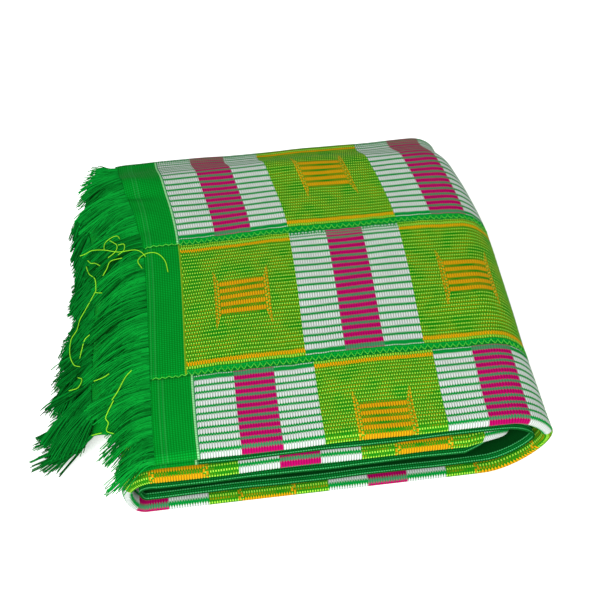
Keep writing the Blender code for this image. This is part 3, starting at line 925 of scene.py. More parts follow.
    def colour_layers(self) -> tuple[Step, ...]:
        """Colours laid over each other: result, mark, what is under and what goes over it.

        Returns:
            The layers, of which the last is the cloth's colour.
        """
        ribbed = (("ground", self.ground), ("dull", self.ground_under_magenta),
                  ("white", self.white), ("magenta", self.magenta), ("plain", self.motif_ground),
                  ("olive", self.olive_ground), ("dot", self.dots), ("orange_yarn", self.orange),
                  ("gold", self.gold), ("pale_line", self.light_line), ("gold_yarn", self.gold_line))
        # Dip and crest mixed by the ribs: the plain yarns' darker dips are painted shade between the
        # ribs
        yarns = tuple((f"{key}_rib", "rib_on" if yarn in self.dotted() else "rib",
                       linear(yarn.dip), linear(yarn.crest)) for key, yarn in ribbed)
        layers = yarns + (
            ("header_cloth", "header_grain", linear(self.header.dip), linear(self.header.crest)),
            ("header_picks", "pale_on", "header_cloth", linear(self.header_pick)),
            ("border_cloth", "header_grain", linear(self.border.dip), linear(self.border.crest)),
            ("bar_ground", "third", "ground_rib", "dull_rib"),
            ("bar_yarn", "third", "white_rib", "magenta_rib"),
            ("bar_cloth", "bar_marks", "bar_ground", "bar_yarn"),
            ("rows_olive", "cloud", "plain_rib", "olive_rib"),
            ("rows_plain", "olive_row", "plain_rib", "rows_olive"),
            ("rows", "dots_left", "rows_plain", "dot_rib"),
            ("rows_thin", "thin_rows", "rows", "dot_rib"),
            ("rows_orange", "orange", "rows_thin", "orange_yarn_rib"),
            ("motif_cloth", "motif_marks", "rows_orange", "gold_rib"),
            ("blocks", "motif_block", "bar_cloth", "motif_cloth"),
            # Painted shade: the cloth that lies inside the folds is painted dark green
            ("fold_shaded", "fold_shade_band", "blocks", linear(self.fold_shade_green)),
            ("bordered", "borders", "fold_shaded", "border_cloth"),
            ("edged", "edge_on", "bordered", linear(self.edge_dot)),
            ("woven", "body", "header_picks", "edged"),
        )
        if self.first_block is Block.BARS:
            return layers + (
                ("woven_a", "light_line", "woven", "pale_line_rib"),
                ("colour", "dark_line", "woven_a", linear(self.dark_line)),
            )
        return layers + (("colour", "gold_line", "woven", "gold_yarn_rib"),)

    def build(self) -> bpy.types.Material:
        """Makes the material.

        Returns:
            The strip's woven cotton, driven by its UV map of cloth places.
        """
        material = bpy.data.materials.new(self.name)
        material.use_nodes = True
        tree = material.node_tree
        shader = tree.nodes["Principled BSDF"]
        place = add_node(tree, "ShaderNodeUVMap", {"uv_map": "cloth_place"}, {})
        parts = add_node(tree, "ShaderNodeSeparateXYZ", {}, {0: place.outputs["UV"]})
        known: dict[str, bpy.types.NodeSocket] = {"u": parts.outputs["X"], "v": parts.outputs["Y"]}
        steps = self.place_steps() + self.bar_steps() + self.motif_steps() + self.edge_steps()
        for result, operation, *operands in steps:
            inputs = {k: known[o] if isinstance(o, str) else o for k, o in enumerate(operands)}
            node = add_node(tree, "ShaderNodeMath", {"operation": operation}, inputs)
            known[result] = node.outputs[0]
        self.add_unevenness(tree, known)
        for result, mark, under, over in self.colour_layers():
            inputs = {0: known[mark]}
            for key, value in ((6, under), (7, over)):
                inputs[key] = known[value] if isinstance(value, str) else value
            node = add_node(tree, "ShaderNodeMix", {"data_type": "RGBA"}, inputs)
            known[result] = node.outputs[2]
        self.finish(tree, shader, known)
        return material

    def add_unevenness(self, tree: bpy.types.NodeTree,
                       known: dict[str, bpy.types.NodeSocket]) -> None:
        """Adds the slow clouds of a handled cloth and the quick slubs of its yarn.

        Args:
            tree: The material's node tree.
            known: The named sockets made so far, which these join.
        """
        where = add_node(tree, "ShaderNodeCombineXYZ", {}, {0: known["along"], 1: known["across"]})
        cloudy = add_node(tree, "ShaderNodeTexNoise", {"noise_dimensions": "2D"},
                          {"Vector": where.outputs[0], "Scale": self.clouds[0],
                           "Detail": self.clouds[1]})
        slub = add_node(tree, "ShaderNodeTexNoise", {"noise_dimensions": "2D"},
                        {"Vector": where.outputs[0], "Scale": self.slubs[0],
                         "Detail": self.slubs[1]})
        cloud = add_node(tree, "ShaderNodeMapRange", {},
                         {"Value": cloudy.outputs[0], "From Min": self.cloud_edges[0],
                          "From Max": self.cloud_edges[1]})
        known["cloud"] = cloud.outputs[0]
        known["cloudy"] = cloudy.outputs[0]
        known["slub"] = slub.outputs[0]

    def finish(self, tree: bpy.types.NodeTree, shader: bpy.types.Node,
               known: dict[str, bpy.types.NodeSocket]) -> None:
        """Varies the colour softly and raises the bars and ribs.

        Args:
            tree: The material's node tree.
            shader: Its Principled shader.
            known: The named sockets made so far.
        """
        soft = add_node(tree, "ShaderNodeMath", {"operation": "MULTIPLY_ADD"},
                        {0: known["cloudy"], 1: self.clouds[2], 2: self.plain_brightness})
        fleck = add_node(tree, "ShaderNodeMath", {"operation": "MULTIPLY_ADD"},
                         {0: known["slub"], 1: self.slubs[2], 2: soft.outputs[0]})
        value = add_node(tree, "ShaderNodeCombineColor", {},
                         {0: fleck.outputs[0], 1: fleck.outputs[0], 2: fleck.outputs[0]})
        shaded = add_node(tree, "ShaderNodeMix", {"data_type": "RGBA", "blend_type": "MULTIPLY"},
                          {0: 1.0, 6: known["colour"], 7: value.outputs[0]})
        bump = add_node(tree, "ShaderNodeBump", {},
                        {"Strength": self.relief_strength, "Distance": self.relief_depth,
                         "Height": known["relief"]})
        tree.links.new(shaded.outputs[2], shader.inputs["Base Color"])
        tree.links.new(bump.outputs[0], shader.inputs["Normal"])
        shader.inputs["Roughness"].default_value = self.roughness
        shader.inputs["Specular IOR Level"].default_value = self.specular


@dataclass(frozen=True)
class SpunYarn:
    """Dyed cotton yarn, spun and twisted: matt, and uneven from thread to thread."""

    name: str
    dark: str
    light: str
    roughness: float = 0.9
    specular: float = 0.03
    # Unevenness along a thread: scale a metre, detail, strength and the share taken off again
    slub_scale: float = 90.0
    slub_detail: float = 2.0
    slub_strength: float = 0.5
    slub_level: float = 0.25

    def build(self) -> bpy.types.Material:
        """Makes the material, shaded by each thread's own number in its UV map.

        Returns:
            The yarn's material.
        """
        material = bpy.data.materials.new(self.name)
        material.use_nodes = True
        tree = material.node_tree
        shader = tree.nodes["Principled BSDF"]
        place = add_node(tree, "ShaderNodeUVMap", {"uv_map": "cloth_place"}, {})
        parts = add_node(tree, "ShaderNodeSeparateXYZ", {}, {0: place.outputs["UV"]})
        spread = add_node(tree, "ShaderNodeTexNoise", {},
                          {"Scale": self.slub_scale, "Detail": self.slub_detail})
        geometry = add_node(tree, "ShaderNodeTexCoord", {}, {})
        tree.links.new(geometry.outputs["Object"], spread.inputs["Vector"])
        shade = add_node(tree, "ShaderNodeMath", {"operation": "MULTIPLY_ADD", "use_clamp": True},
                         {0: spread.outputs[0], 1: self.slub_strength,
                          2: parts.outputs["X"]})
        lowered = add_node(tree, "ShaderNodeMath", {"operation": "SUBTRACT", "use_clamp": True},
                           {0: shade.outputs[0], 1: self.slub_level})
        colour = add_node(tree, "ShaderNodeMix", {"data_type": "RGBA"},
                          {0: lowered.outputs[0], 6: linear(self.dark), 7: linear(self.light)})
        tree.links.new(colour.outputs[2], shader.inputs["Base Color"])
        shader.inputs["Roughness"].default_value = self.roughness
        shader.inputs["Specular IOR Level"].default_value = self.specular
        return material


@dataclass(frozen=True)
class OpalTable:
    """Opal acrylic table lit from below: an even white that shadows hardly darken."""

    name: str = "opal_table"
    colour: str = "#FBFBFB"
    glow: float = 0.4
    roughness: float = 0.9
    specular: float = 0.1
    tooth_scale: float = 400.0
    tooth_strength: float = 0.02
    tooth_depth: float = 0.0002

    def build(self) -> bpy.types.Material:
        """Makes the material, with a faint tooth.

        Returns:
            The table top's material.
        """
        material = bpy.data.materials.new(self.name)
        material.use_nodes = True
        tree = material.node_tree
        shader = tree.nodes["Principled BSDF"]
        tooth = add_node(tree, "ShaderNodeTexNoise", {}, {"Scale": self.tooth_scale})
        bump = add_node(tree, "ShaderNodeBump", {},
                        {"Strength": self.tooth_strength, "Distance": self.tooth_depth,
                         "Height": tooth.outputs[0]})
        tree.links.new(bump.outputs[0], shader.inputs["Normal"])
        shader.inputs["Base Color"].default_value = linear(self.colour)
        shader.inputs["Emission Color"].default_value = linear(self.colour)
        shader.inputs["Emission Strength"].default_value = self.glow
        shader.inputs["Roughness"].default_value = self.roughness
        shader.inputs["Specular IOR Level"].default_value = self.specular
        return material


@dataclass(frozen=True)
class PatternFit:
    """How a strip's woven pattern lies on it: slip along it in mm, whether the strip was sewn in
    turned over, and how far across the pattern its front nose lies, or 0 where it has none."""

    slip: float = 0.0
    flipped: bool = False
    nose_place: float = 0.0


@dataclass(frozen=True)
class WovenStrip:
    """One loom strip of the cloth, folded and rolled with its neighbours."""

    index: int
    fit: PatternFit
    step_along: float = 3.0
    step_across: float = 2.6
    turn_steps: int = 26
    nose_steps: int = 16
    # How far the closer lines reach past a nose, and how close to them no other line comes
    nose_margin: float = 2.0
    nose_clear: float = 0.8
    header_steps: int = 16
    thickness: float = 1.1
    seam_gap: float = 0.1

    def span(self) -> tuple[float, float]:
        """First and last w of the strip.

        Returns:
            Both in mm.
        """
        start = 0.0 if self.index == 0 else PILE.strip_edge(self.index) + self.seam_gap / 2.0
        end = PILE.strip_edge(self.index + 1)
        last = self.index == PILE.strip_count - 1
        return start, end if last else end - self.seam_gap / 2.0

    def across_stations(self) -> np.ndarray:
        """w of the lengthwise grid lines, closer round a nose.

        Returns:
            Places in mm, in order.
        """
        first, last = self.span()
        count = max(2, round((last - first) / self.step_across))
        stations = set(np.linspace(first, last, count + 1))
        top = PILE.back_edge_y - PILE.front_nose_y
        turned = top + PILE.nose_length + PILE.back_nose_y - PILE.front_nose_y
        for start in (top, turned):
            nose = np.linspace(start - self.nose_margin,
                               start + PILE.nose_length + self.nose_margin, self.nose_steps + 1)
            if first < nose[0] and nose[-1] < last:
                near, far = nose[0] - self.nose_clear, nose[-1] + self.nose_clear
                stations = {w for w in stations if not near < w < far}
                stations.update(nose)
        return np.array(sorted(stations))

    def along_stations(self) -> np.ndarray:
        """u of the crosswise grid lines after the header end.

        Returns:
            Places in blocks, in order.
        """
        stations: list[float] = []
        for index, run in enumerate(PILE.runs):
            steps = max(2, round((run.u_to - run.u_from) * PILE.block / self.step_along))
            stations += list(np.linspace(run.u_from, run.u_to, steps + 1)[int(index > 0):])
            if index < len(PILE.turns):
                after = PILE.runs[index + 1].u_from
                stations += list(np.linspace(run.u_to, after, self.turn_steps + 1)[1:])
        return np.array(stations)

    def grid(self) -> tuple[np.ndarray, np.ndarray]:
        """u and w of every grid point, as two arrays of the same shape.

        Returns:
            Blocks along the strip and millimetres across the cloth.
        """
        across = self.across_stations()
        roll = self.along_stations()
        start = PILE.header_u(across)
        shares = np.linspace(0.0, 1.0, self.header_steps + 1)[:-1]
        header = start[None, :] + (roll[0] - start)[None, :] * shares[:, None]
        u = np.vstack([header, np.repeat(roll[:, None], len(across), axis=1)])
        return u, np.repeat(across[None, :], len(u), axis=0)

    def pattern_place(self, u: np.ndarray, w: np.ndarray) -> np.ndarray:
        """UV pairs of the woven pattern at each cloth place.

        Args:
            u: Blocks along the strips.
            w: Millimetres across them.

        Returns:
            Blocks along the pattern and the share across it.
        """
        first, last = self.span()
        pitch = PILE.strip_pitch
        across = (w - first) * pitch / (last - first)
        if self.index == 0:
            across = w + pitch - PILE.first_strip
        if self.fit.nose_place > 0.0:
            top = PILE.back_edge_y - PILE.front_nose_y + PILE.nose_length / 2.0 - first
            across = np.interp(w - first, (0.0, top, pitch), (0.0, self.fit.nose_place, pitch))
        if self.fit.flipped:
            across = pitch - across
        along = u - self.fit.slip / PILE.block
        return np.stack((along, across / pitch), axis=-1)

    def build(self, weave: bpy.types.Material) -> bpy.types.Object:
        """Makes the strip as a closed thin sheet.

        Args:
            weave: Its woven material.

        Returns:
            The strip's object.
        """
        u, w = self.grid()
        middle = PILE.place(u, w)
        offset = PILE.normal(u, w) * self.thickness / 2.0
        rows, columns = u.shape
        count = rows * columns
        numbers = np.arange(count).reshape(rows, columns)
        upper = np.stack((numbers[:-1, :-1], numbers[1:, :-1], numbers[1:, 1:],
                          numbers[:-1, 1:]), axis=-1).reshape(-1, 4)
        lower = upper[:, ::-1] + count
        rim = np.concatenate((numbers[:, 0], numbers[-1, 1:], numbers[-2::-1, -1],
                              numbers[0, -2:0:-1]))
        after = np.roll(rim, -1)
        wall = np.stack((rim, rim + count, after + count, after), axis=-1)
        points = np.concatenate(((middle + offset).reshape(-1, 3),
                                 (middle - offset).reshape(-1, 3)))
        pattern = self.pattern_place(u, w).reshape(-1, 2)
        name = f"woven_strip_{self.index + 1}"
        thing = mesh_object(name, points, np.concatenate((upper, lower, wall)),
                            np.concatenate((pattern, pattern)))
        thing.data.materials.append(weave)
        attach(thing, BODY)
        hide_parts(f"strip_{self.index + 1}")
        return thing

    def flat_size(self) -> tuple[float, float]:
        """Width and length of the flat strip, in metres.

        Returns:
            The width, and the length from the middle of the header's cut edge.
        """
        first, last = self.span()
        length = (PILE.runs[-1].u_to - float(np.mean(PILE.header_u(self.across_stations()))))
        return (last - first) * MM, length * PILE.block * MM


class LockDraw(IntEnum):
    """What each random number of a lock is for."""

    REACH = 0
    SWEEP = 1
    REST = 2
    SHADE = 3


class ThreadDraw(IntEnum):
    """What each random number of a thread is for."""

    REACH = 0
    REST = 1
    TIP = 2
    WAVE = 3
    THICKNESS = 4
    SHADE = 5
    TURNS = 6
    SHIFT = 7
    ARCH = 8
    ROOT = 9


@dataclass(frozen=True)
class FringeRow:
    """A row of cut warp ends along the header's edge, clumped in loose locks. Reach, sweep
    towards the back and resting height change over the row, and are given at its marks."""

    name: str
    node: str
    from_strips: float
    to_strips: float
    locks: int
    threads: int
    reaches: tuple[float, ...]
    sweeps: tuple[float, ...]
    rests: tuple[float, ...]
    spring: float
    marks: tuple[float, ...] = (0.0, 0.12, 0.75, 1.0)
    slot: Slot = Slot.FRINGE
    radius: float = 0.40
    points: int = 9
    gather: float = 0.8
    root_lift: float = 0.9
    root_inset: float = 0.8
    # Places in from the cut edge, in mm: the root, where its direction and its face are taken
    root_in: float = 0.5
    direction_in: float = 3.0
    face_in: float = 1.0
    draws_a_lock: int = 5
    draws_a_thread: int = 10
    least_lock: float = 0.35
    lock_power: float = 1.5
    # A least share and how much a random draw adds to it
    lock_reaches: tuple[float, float] = (0.82, 0.36)
    thread_reaches: tuple[float, float] = (0.70, 0.42)
    lock_sweeps: tuple[float, float] = (0.2, 1.6)
    thicknesses: tuple[float, float] = (0.8, 0.4)
    wave_turns: tuple[float, float] = (5.0, 4.0)
    tip_taper: float = 0.7
    # A thread's shade: its lock's part, its own part, the least, and what a lock's edge loses, which
    # is painted shadow of the gaps between locks
    shades: tuple[float, float, float, float] = (0.4, 0.45, 0.15, 0.3)
    floor_limit: float = 1.0
    floor_pile: float = 1.4
    drape_pile: float = 3.0
    floor_fall: float = 0.18
    drape_fall: float = 0.42
    tip_scatter: float = 6.0
    root_flare: float = 0.1
    fall_back: float = 0.28
    fall_sweep: float = 0.35
    wave_height: float = 1.2
    wave_level: float = 0.3
    wave_shift: float = 6.3
    lock_arch: float = 1.1
    thread_arch: float = 1.3
    arch_level: float = 0.4

    def build(self, yarn: bpy.types.Material, chance: np.random.Generator) -> bpy.types.Object:
        """Makes the row.

        Args:
            yarn: The fringe's material.
            chance: The seeded source of its unevenness.

        Returns:
            One joined mesh of threads.
        """
        tubes = Tubes(3)
        first = PILE.strip_edge(self.from_strips)
        last = PILE.strip_edge(self.to_strips)
        widths = self.least_lock + chance.random(self.locks) ** self.lock_power
        ends = np.concatenate(((0.0,), np.cumsum(widths) / np.sum(widths)))
        locks = chance.random((self.locks, self.draws_a_lock))
        share = (np.arange(self.threads) + chance.random(self.threads)) / self.threads
        w = first + (last - first) * share
        edge = PILE.header_u(w)
        root = PILE.place(edge + self.root_in / PILE.block, w)
        outward = root - PILE.place(edge + self.direction_in / PILE.block, w)
        outward /= np.linalg.norm(outward, axis=1, keepdims=True)
        draws = chance.random((self.threads, self.draws_a_thread))
        at_root = draws[:, ThreadDraw.ROOT, None]
        face = PILE.normal(edge + self.face_in / PILE.block, w)
        face *= np.sign(face[:, 2:3]) * at_root * self.root_lift
        root = root + face - outward * at_root * self.root_inset
        for k in range(self.threads):
            lock = min(int(np.searchsorted(ends, share[k], side="right")) - 1, self.locks - 1)
            half = (ends[lock + 1] - ends[lock]) / 2.0
            aside = (share[k] - ends[lock] - half) / half
            path = self.thread_path(root[k], outward[k], share[k], aside,
                                    half * (last - first), locks[lock], draws[k])
            radii = np.linspace(self.radius, self.radius * self.tip_taper, self.points)
            radii *= spread(self.thicknesses, draws[k, ThreadDraw.THICKNESS])
            of_lock, own, least, gap_shadow = self.shades
            shade = of_lock * locks[lock, LockDraw.SHADE] + own * draws[k, ThreadDraw.SHADE]
            # Threads at a lock's edges are darkened: painted shadow in the gaps between locks
            tubes.add(path, radii, float(shade + least - gap_shadow * abs(aside) ** 3))
        thing = tubes.build(self.name)
        thing.data.materials.append(yarn)
        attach(thing, BODY)
        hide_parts(self.node)
        return thing

    def thread_path(self, root: np.ndarray, outward: np.ndarray, share: float, aside: float,
                    half_width: float, lock: np.ndarray, draw: np.ndarray) -> np.ndarray:
        """Middle points of one thread.

        Args:
            root: Where it leaves the header.
            outward: The way the header points there.
            share: How far along the row it is, 0 to 1.
            aside: Where in its lock it is, -1 to 1.
            half_width: Half of the lock's width along the edge, in mm.
            lock: The lock's own random numbers.
            draw: The thread's own random numbers.

        Returns:
            Points from the root to the tip, in mm.
        """
        reach = np.interp(share, self.marks, self.reaches)
        reach *= (spread(self.lock_reaches, lock[LockDraw.REACH])
                  * spread(self.thread_reaches, draw[ThreadDraw.REACH]))
        sweep = np.interp(share, self.marks, self.sweeps)
        sweep *= spread(self.lock_sweeps, lock[LockDraw.SWEEP])
        rest = np.interp(share, self.marks, self.rests)
        on_floor = rest < self.floor_limit
        piled = self.floor_pile if on_floor else self.drape_pile
        rest += self.radius + piled * lock[LockDraw.REST] * draw[ThreadDraw.REST]
        level = np.array((outward[0], outward[1], 0.0))
        level /= np.linalg.norm(level) + TINY
        end = root + level * reach
        scatter = (draw[ThreadDraw.TIP] - 0.5) * self.tip_scatter
        end[1] += sweep + scatter - aside * half_width * self.gather
        end[2] = rest
        leave = root + outward * reach * self.spring
        leave[1] += aside * half_width * self.root_flare
        fall = end - level * reach * self.fall_back
        fall[1] -= sweep * self.fall_sweep
        fall[2] = rest + (root[2] - rest) * (self.floor_fall if on_floor else self.drape_fall)
        t = np.linspace(0.0, 1.0, self.points)[:, None]
        s = 1.0 - t
        path = s**3 * root + 3.0 * s * s * t * leave + 3.0 * s * t * t * fall + t**3 * end
        along = t[:, 0]
        turns = along * spread(self.wave_turns, draw[ThreadDraw.TURNS])
        wave = np.sin(turns + self.wave_shift * draw[ThreadDraw.SHIFT])
        wave *= self.wave_height * (draw[ThreadDraw.WAVE] - self.wave_level)
        path[:, 1] += wave * along
        height = self.lock_arch * (1.0 - aside * aside)
        height += self.thread_arch * (draw[ThreadDraw.ARCH] - self.arch_level)
        path[:, 2] = np.maximum(path[:, 2] + height * np.sin(along * math.pi), self.radius)
        return path


@dataclass(frozen=True)
class ZigzagSeam:
    """A zigzag of machine stitches that joins two strips along their whole length."""

    number: int
    amplitude: float = 1.5
    header_amplitude: float = 0.6
    period: float = 3.4
    radius: float = 0.2
    lift: float = 0.66
    shade: float = 0.95
    start_u: float = 0.04
    end_u: float = 0.02
    unevenness: tuple[float, float] = (0.9, 0.2)

    def build(self, thread: bpy.types.Material, chance: np.random.Generator) -> bpy.types.Object:
        """Makes the stitches on both faces of the cloth.

        Args:
            thread: The sewing thread's material.
            chance: The seeded source of its unevenness.

        Returns:
            One mesh of the seam's stitches.
        """
        seam = PILE.seams()[self.number]
        start = float(PILE.header_u(np.array(seam))) + self.start_u
        end = PILE.runs[-1].u_to - self.end_u
        halves = int((end - start) * PILE.block / (self.period / 2.0))
        points = halves * 2 + 1
        u = np.linspace(start, end, points)
        swing = np.abs((np.arange(points) / 2.0) % 2.0 - 1.0) * 2.0 - 1.0
        swing = swing * np.where(u < 0.0, self.header_amplitude, self.amplitude)
        swing = swing * spread(self.unevenness, chance.random(points))
        w = seam + swing
        over = PILE.place(u, w)
        normal = PILE.normal(u, np.full(points, seam))
        tubes = Tubes(3)
        for face in (1.0, -1.0):
            radii = np.full(points, self.radius)
            tubes.add(over + normal * self.lift * face, radii, self.shade)
        thing = tubes.build(f"zigzag_seam_{self.number + 1}")
        thing.data.materials.append(thread)
        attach(thing, BODY)
        return thing


@dataclass(frozen=True)
class LooseThread:
    """An end of sewing thread left long, lying in loose curls on the fringe: its pile places."""

    places: tuple[tuple[float, float, float], ...]
    shade: float = 0.7
    radius: float = 0.26

    def path(self, steps: int = 6) -> np.ndarray:
        """A smooth line through its places.

        Args:
            steps: Points made between two places.

        Returns:
            Points in mm.
        """
        held = np.array(self.places)
        padded = np.vstack((2 * held[0] - held[1], held, 2 * held[-1] - held[-2]))
        points = []
        for k in range(len(held) - 1):
            a, b, c, d = padded[k:k + 4]
            for t in np.linspace(0.0, 1.0, steps, endpoint=False):
                points.append(0.5 * (2 * b + (c - a) * t + (2 * a - 5 * b + 4 * c - d) * t**2
                                     + (3 * b - a - 3 * c + d) * t**3))
        points.append(held[-1])
        return np.array(points)


@dataclass(frozen=True)
class LooseThreads:
    """All the loose ends of sewing thread, as one joined piece."""

    name: str
    threads: tuple[LooseThread, ...]

    def build(self, thread: bpy.types.Material) -> bpy.types.Object:
        """Makes the threads and lays their colour on them.

        Args:
            thread: The sewing thread's material.

        Returns:
            One joined mesh of threads.
        """
        tubes = Tubes(4)
        for end in self.threads:
            path = end.path()
            tubes.add(path, np.full(len(path), end.radius), end.shade)
        thing = tubes.build(self.name)
        thing.data.materials.append(thread)
        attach(thing, BODY)
        return thing


@dataclass(frozen=True)
class Studio:
    """Plain white table, soft light from the front and above, and the camera. The camera's
    places are in the pile, in mm, and the light's are in the frame, in metres."""

    camera_place: tuple[float, float, float] = (-8.57, -573.59, 574.73)
    camera_target: tuple[float, float, float] = (64.7, -32.8, 30.0)
    camera_roll: float = -0.4
    focal_pixels: float = 1358.0
    picture_width: float = 600.0
    sensor: float = 36.0
    floor_half: float = 9.0
    key_place: tuple[float, float, float] = (-0.35, -1.15, 1.05)
    key_target: tuple[float, float, float] = (0.0, 0.0, 0.03)
    key_power: float = 24.0
    key_size: float = 0.9
    sky_colour: str = "#FFFFFF"
    sky_strength: float = 0.66

    def build(self) -> None:
        """Makes the camera, floor, lights and surroundings."""
        self.build_camera()
        self.build_floor()
        self.build_light()
        bpy.context.scene.view_settings.view_transform = "Standard"

    def build_camera(self) -> None:
        """Places the camera where the photograph was taken from."""
        place = Vector(to_frame(np.array(self.camera_place)))
        target = Vector(to_frame(np.array(self.camera_target)))
        data = bpy.data.cameras.new("camera")
        data.sensor_width = self.sensor
        data.lens = self.focal_pixels * self.sensor / self.picture_width
        camera = bpy.data.objects.new("camera", data)
        turn = (target - place).to_track_quat("-Z", "Y").to_matrix().to_4x4()
        roll = Matrix.Rotation(math.radians(self.camera_roll), 4, "Z")
        camera.matrix_world = Matrix.Translation(place) @ turn @ roll
        bpy.context.scene.collection.objects.link(camera)
        bpy.context.scene.camera = camera

    def build_floor(self) -> None:
        """A large level table top under the pile."""
        half = self.floor_half
        mesh = bpy.data.meshes.new("floor")
        corners = [(-half, -half, 0.0), (half, -half, 0.0), (half, half, 0.0), (-half, half, 0.0)]
        mesh.from_pydata(corners, [], [(0, 1, 2, 3)])
        mesh.materials.append(OpalTable().build())
        floor = bpy.data.objects.new("floor", mesh)
        bpy.context.scene.collection.objects.link(floor)

    def build_light(self) -> None:
        """One wide soft light and an even sky."""
        lamp = bpy.data.lights.new("key_light", "AREA")
        lamp.shape = "DISK"
        lamp.size = self.key_size
        lamp.energy = self.key_power
        light = bpy.data.objects.new("key_light", lamp)
        place = Vector(self.key_place)
        turn = (Vector(self.key_target) - place).to_track_quat("-Z", "Y").to_matrix()
        light.matrix_world = Matrix.Translation(place) @ turn.to_4x4()
        bpy.context.scene.collection.objects.link(light)
        world = bpy.data.worlds.new("studio")
        world.use_nodes = True
        background = world.node_tree.nodes["Background"]
        background.inputs["Color"].default_value = linear(self.sky_colour)
        background.inputs["Strength"].default_value = self.sky_strength
        bpy.context.scene.world = world


STRIP_FITS = (
    PatternFit(),
    PatternFit(),
    PatternFit(slip=3.4, flipped=True, nose_place=62.0),
    PatternFit(slip=1.0, flipped=True),
    PatternFit(slip=-1.5),
    PatternFit(slip=0.8, flipped=True),
    PatternFit(slip=2.0),
)
# The strips that show, from the back, and the wider steps of those that lie hidden
FINE_STRIPS = 4
HIDDEN_STEPS = {"step_along": 5.0, "step_across": 4.0, "turn_steps": 18}
FRINGES = (
    FringeRow("top_fringe_threads", "fringe_top", 0.02, 2.52, 74, 1900,
              (14.0, 25.0, 29.0, 20.0), (-1.0, -3.0, -5.0, -5.0),
              (31.0, 34.0, 34.0, 37.0), 0.4),
    FringeRow("middle_fringe_threads", "fringe_middle", 3.05, 4.75, 50, 1400,
              (24.0, 24.0, 12.0, 8.0), (-12.0, -12.0, -9.0, -6.0),
              (7.0, 7.0, 8.0, 9.0), 0.3),
    FringeRow("bottom_fringe_threads", "fringe_bottom", 4.85, 6.6, 46, 1400,
              (8.0, 10.0, 22.0, 29.0), (-4.0, -6.0, -8.0, -5.0),
              (0.0, 0.0, 0.0, 0.0), 0.3),
)


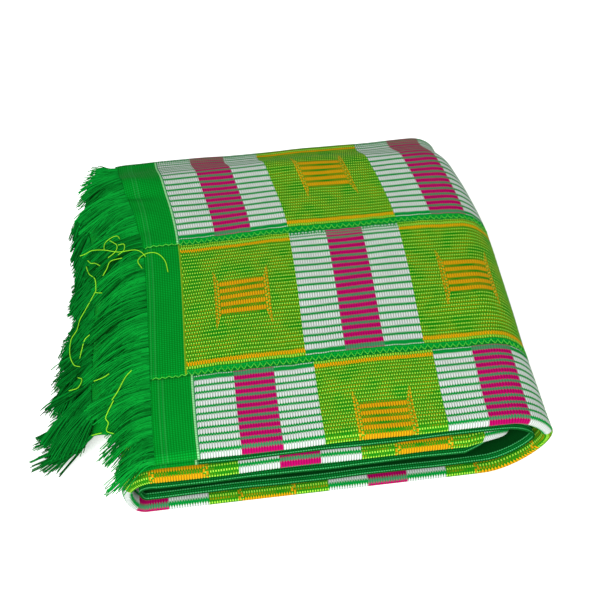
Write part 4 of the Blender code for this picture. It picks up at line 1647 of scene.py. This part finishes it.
LOOSE_ENDS = LooseThreads("loose_sewing_threads", (
    LooseThread(((-22.0, -19.2, 54.0), (-24.0, -12.2, 53.0), (-21.5, -8.4, 53.4),
                 (-16.9, -6.6, 53.5), (-12.4, -8.3, 53.6), (-8.9, -14.8, 53.7),
                 (-7.9, -23.9, 53.7))),
    LooseThread(((-19.5, -9.4, 53.4), (-21.8, -4.7, 53.0), (-25.7, -2.0, 52.6),
                 (-34.8, 0.4, 50.0), (-43.0, 8.9, 44.8), (-50.2, 15.0, 39.7),
                 (-54.5, 15.5, 37.0), (-57.6, 17.0, 34.6))),
    LooseThread(((-43.0, 8.9, 44.9), (-42.3, 16.0, 43.5), (-38.5, 17.5, 45.8),
                 (-35.0, 17.5, 46.9), (-33.4, 13.6, 48.0))),
    LooseThread(((-39.3, 16.1, 45.1), (-35.3, 7.8, 48.4), (-36.6, 1.9, 48.8),
                 (-40.8, -0.6, 47.2))),
    LooseThread(((-34.6, 7.5, 48.9), (-31.2, 6.6, 49.9), (-31.4, 0.6, 50.9),
                 (-34.9, -1.6, 49.6))),
    LooseThread(((-32.9, -4.5, 49.6), (-39.5, -3.4, 47.0), (-42.0, -6.2, 44.2),
                 (-44.6, -9.7, 42.3))),
    LooseThread(((-53.6, 13.4, 34.2), (-51.6, 8.0, 36.4), (-48.6, 3.0, 40.6),
                 (-45.8, -2.9, 43.8))),
    LooseThread(((-54.4, 8.4, 33.6), (-52.6, -2.8, 38.2), (-49.4, -8.6, 39.4),
                 (-49.1, -16.0, 38.6), (-49.3, -18.6, 38.4), (-45.6, -23.7, 42.4))),
    LooseThread(((-49.6, -18.0, 38.2), (-53.4, -21.5, 33.8), (-57.0, -19.7, 25.6),
                 (-60.5, -21.3, 20.4), (-62.3, -28.3, 19.9), (-66.0, -33.9, 17.9),
                 (-66.8, -45.6, 18.4), (-64.7, -54.4, 19.4), (-61.1, -58.9, 22.0))),
    LooseThread(((-53.8, -51.0, 38.2), (-56.8, -52.4, 36.0), (-58.9, -54.6, 31.0),
                 (-61.0, -52.9, 22.4))),
    LooseThread(((-62.5, -66.0, 21.1), (-60.2, -69.7, 23.2), (-62.6, -74.6, 22.5),
                 (-67.7, -73.6, 19.7))),
    LooseThread(((-52.5, -86.0, 38.9), (-47.5, -87.0, 42.0), (-44.0, -86.4, 43.9))),
    LooseThread(((-32.0, -91.2, 49.8), (-35.6, -95.1, 49.0), (-39.7, -102.8, 48.0),
                 (-43.3, -106.2, 45.2))),
    LooseThread(((-42.4, -107.5, 46.2), (-45.3, -111.5, 43.7), (-47.2, -114.2, 41.0),
                 (-46.0, -117.1, 40.4), (-47.2, -120.9, 38.9), (-43.4, -127.0, 43.2))),
    LooseThread(((-56.3, -107.7, 20.8), (-53.5, -110.5, 24.8), (-50.6, -113.3, 28.6))),
))


def main() -> None:
    """Builds the studio, the seven strips, their seams, the fringe and the loose threads."""
    logging.basicConfig(level=logging.INFO, format="%(message)s")
    chance = np.random.default_rng(SEED)
    Studio().build()
    bars = StripWeave("woven_cotton_bars_first", Block.BARS).build()
    motif = StripWeave("woven_cotton_motif_first", Block.MOTIF).build()
    # The selvedge strip's front lies inside the folds: past 80 mm it takes the painted fold shade,
    # and its darker border is painted shade too
    selvedge = StripWeave("woven_cotton_selvedge", Block.BARS, border_start=95.8,
                          fold_shade_start=80.0, edge_line=0.8,
                          border=Yarn("#00420E", "#068436")).build()
    weaves = (bars, motif, bars, motif, bars, motif, selvedge)
    yarn = SpunYarn("green_fringe_yarn", "#003606", "#0AA838").build()
    # A darker copy of the fringe yarn for the middle and bottom rows: painted shade under the top row
    shaded_yarn = SpunYarn("shaded_green_fringe_yarn", "#002A04", "#069030").build()
    thread = SpunYarn("sewing_thread", "#2CB01C", "#72E850").build()
    loose = SpunYarn("loose_thread", "#4CAC14", "#A0EC30").build()
    strips = []
    for index, fit in enumerate(STRIP_FITS):
        strip = WovenStrip(index, fit, **({} if index < FINE_STRIPS else HIDDEN_STEPS))
        piece = strip.build(weaves[index])
        strips.append((strip, piece))
        LOG.info("strip %d: %d faces", index + 1, len(piece.data.polygons))
    seams = [ZigzagSeam(number).build(thread, chance) for number in range(len(PILE.seams()))]
    for number, seam in enumerate(seams):
        LOG.info("seam %d: %d faces", number + 1, len(seam.data.polygons))
    rows = [row.build(yarn if row is FRINGES[0] else shaded_yarn, chance) for row in FRINGES]
    for row in rows:
        LOG.info("%s: %d faces", row.name, len(row.data.polygons))
    ends = LOOSE_ENDS.build(loose)
    LOG.info("%s: %d faces", LOOSE_ENDS.name, len(ends.data.polygons))
    # Works out each strip's flat size; the sizes are not kept
    for index, (strip, piece) in enumerate(strips):
        strip.flat_size()


if __name__ == "__main__":
    main()
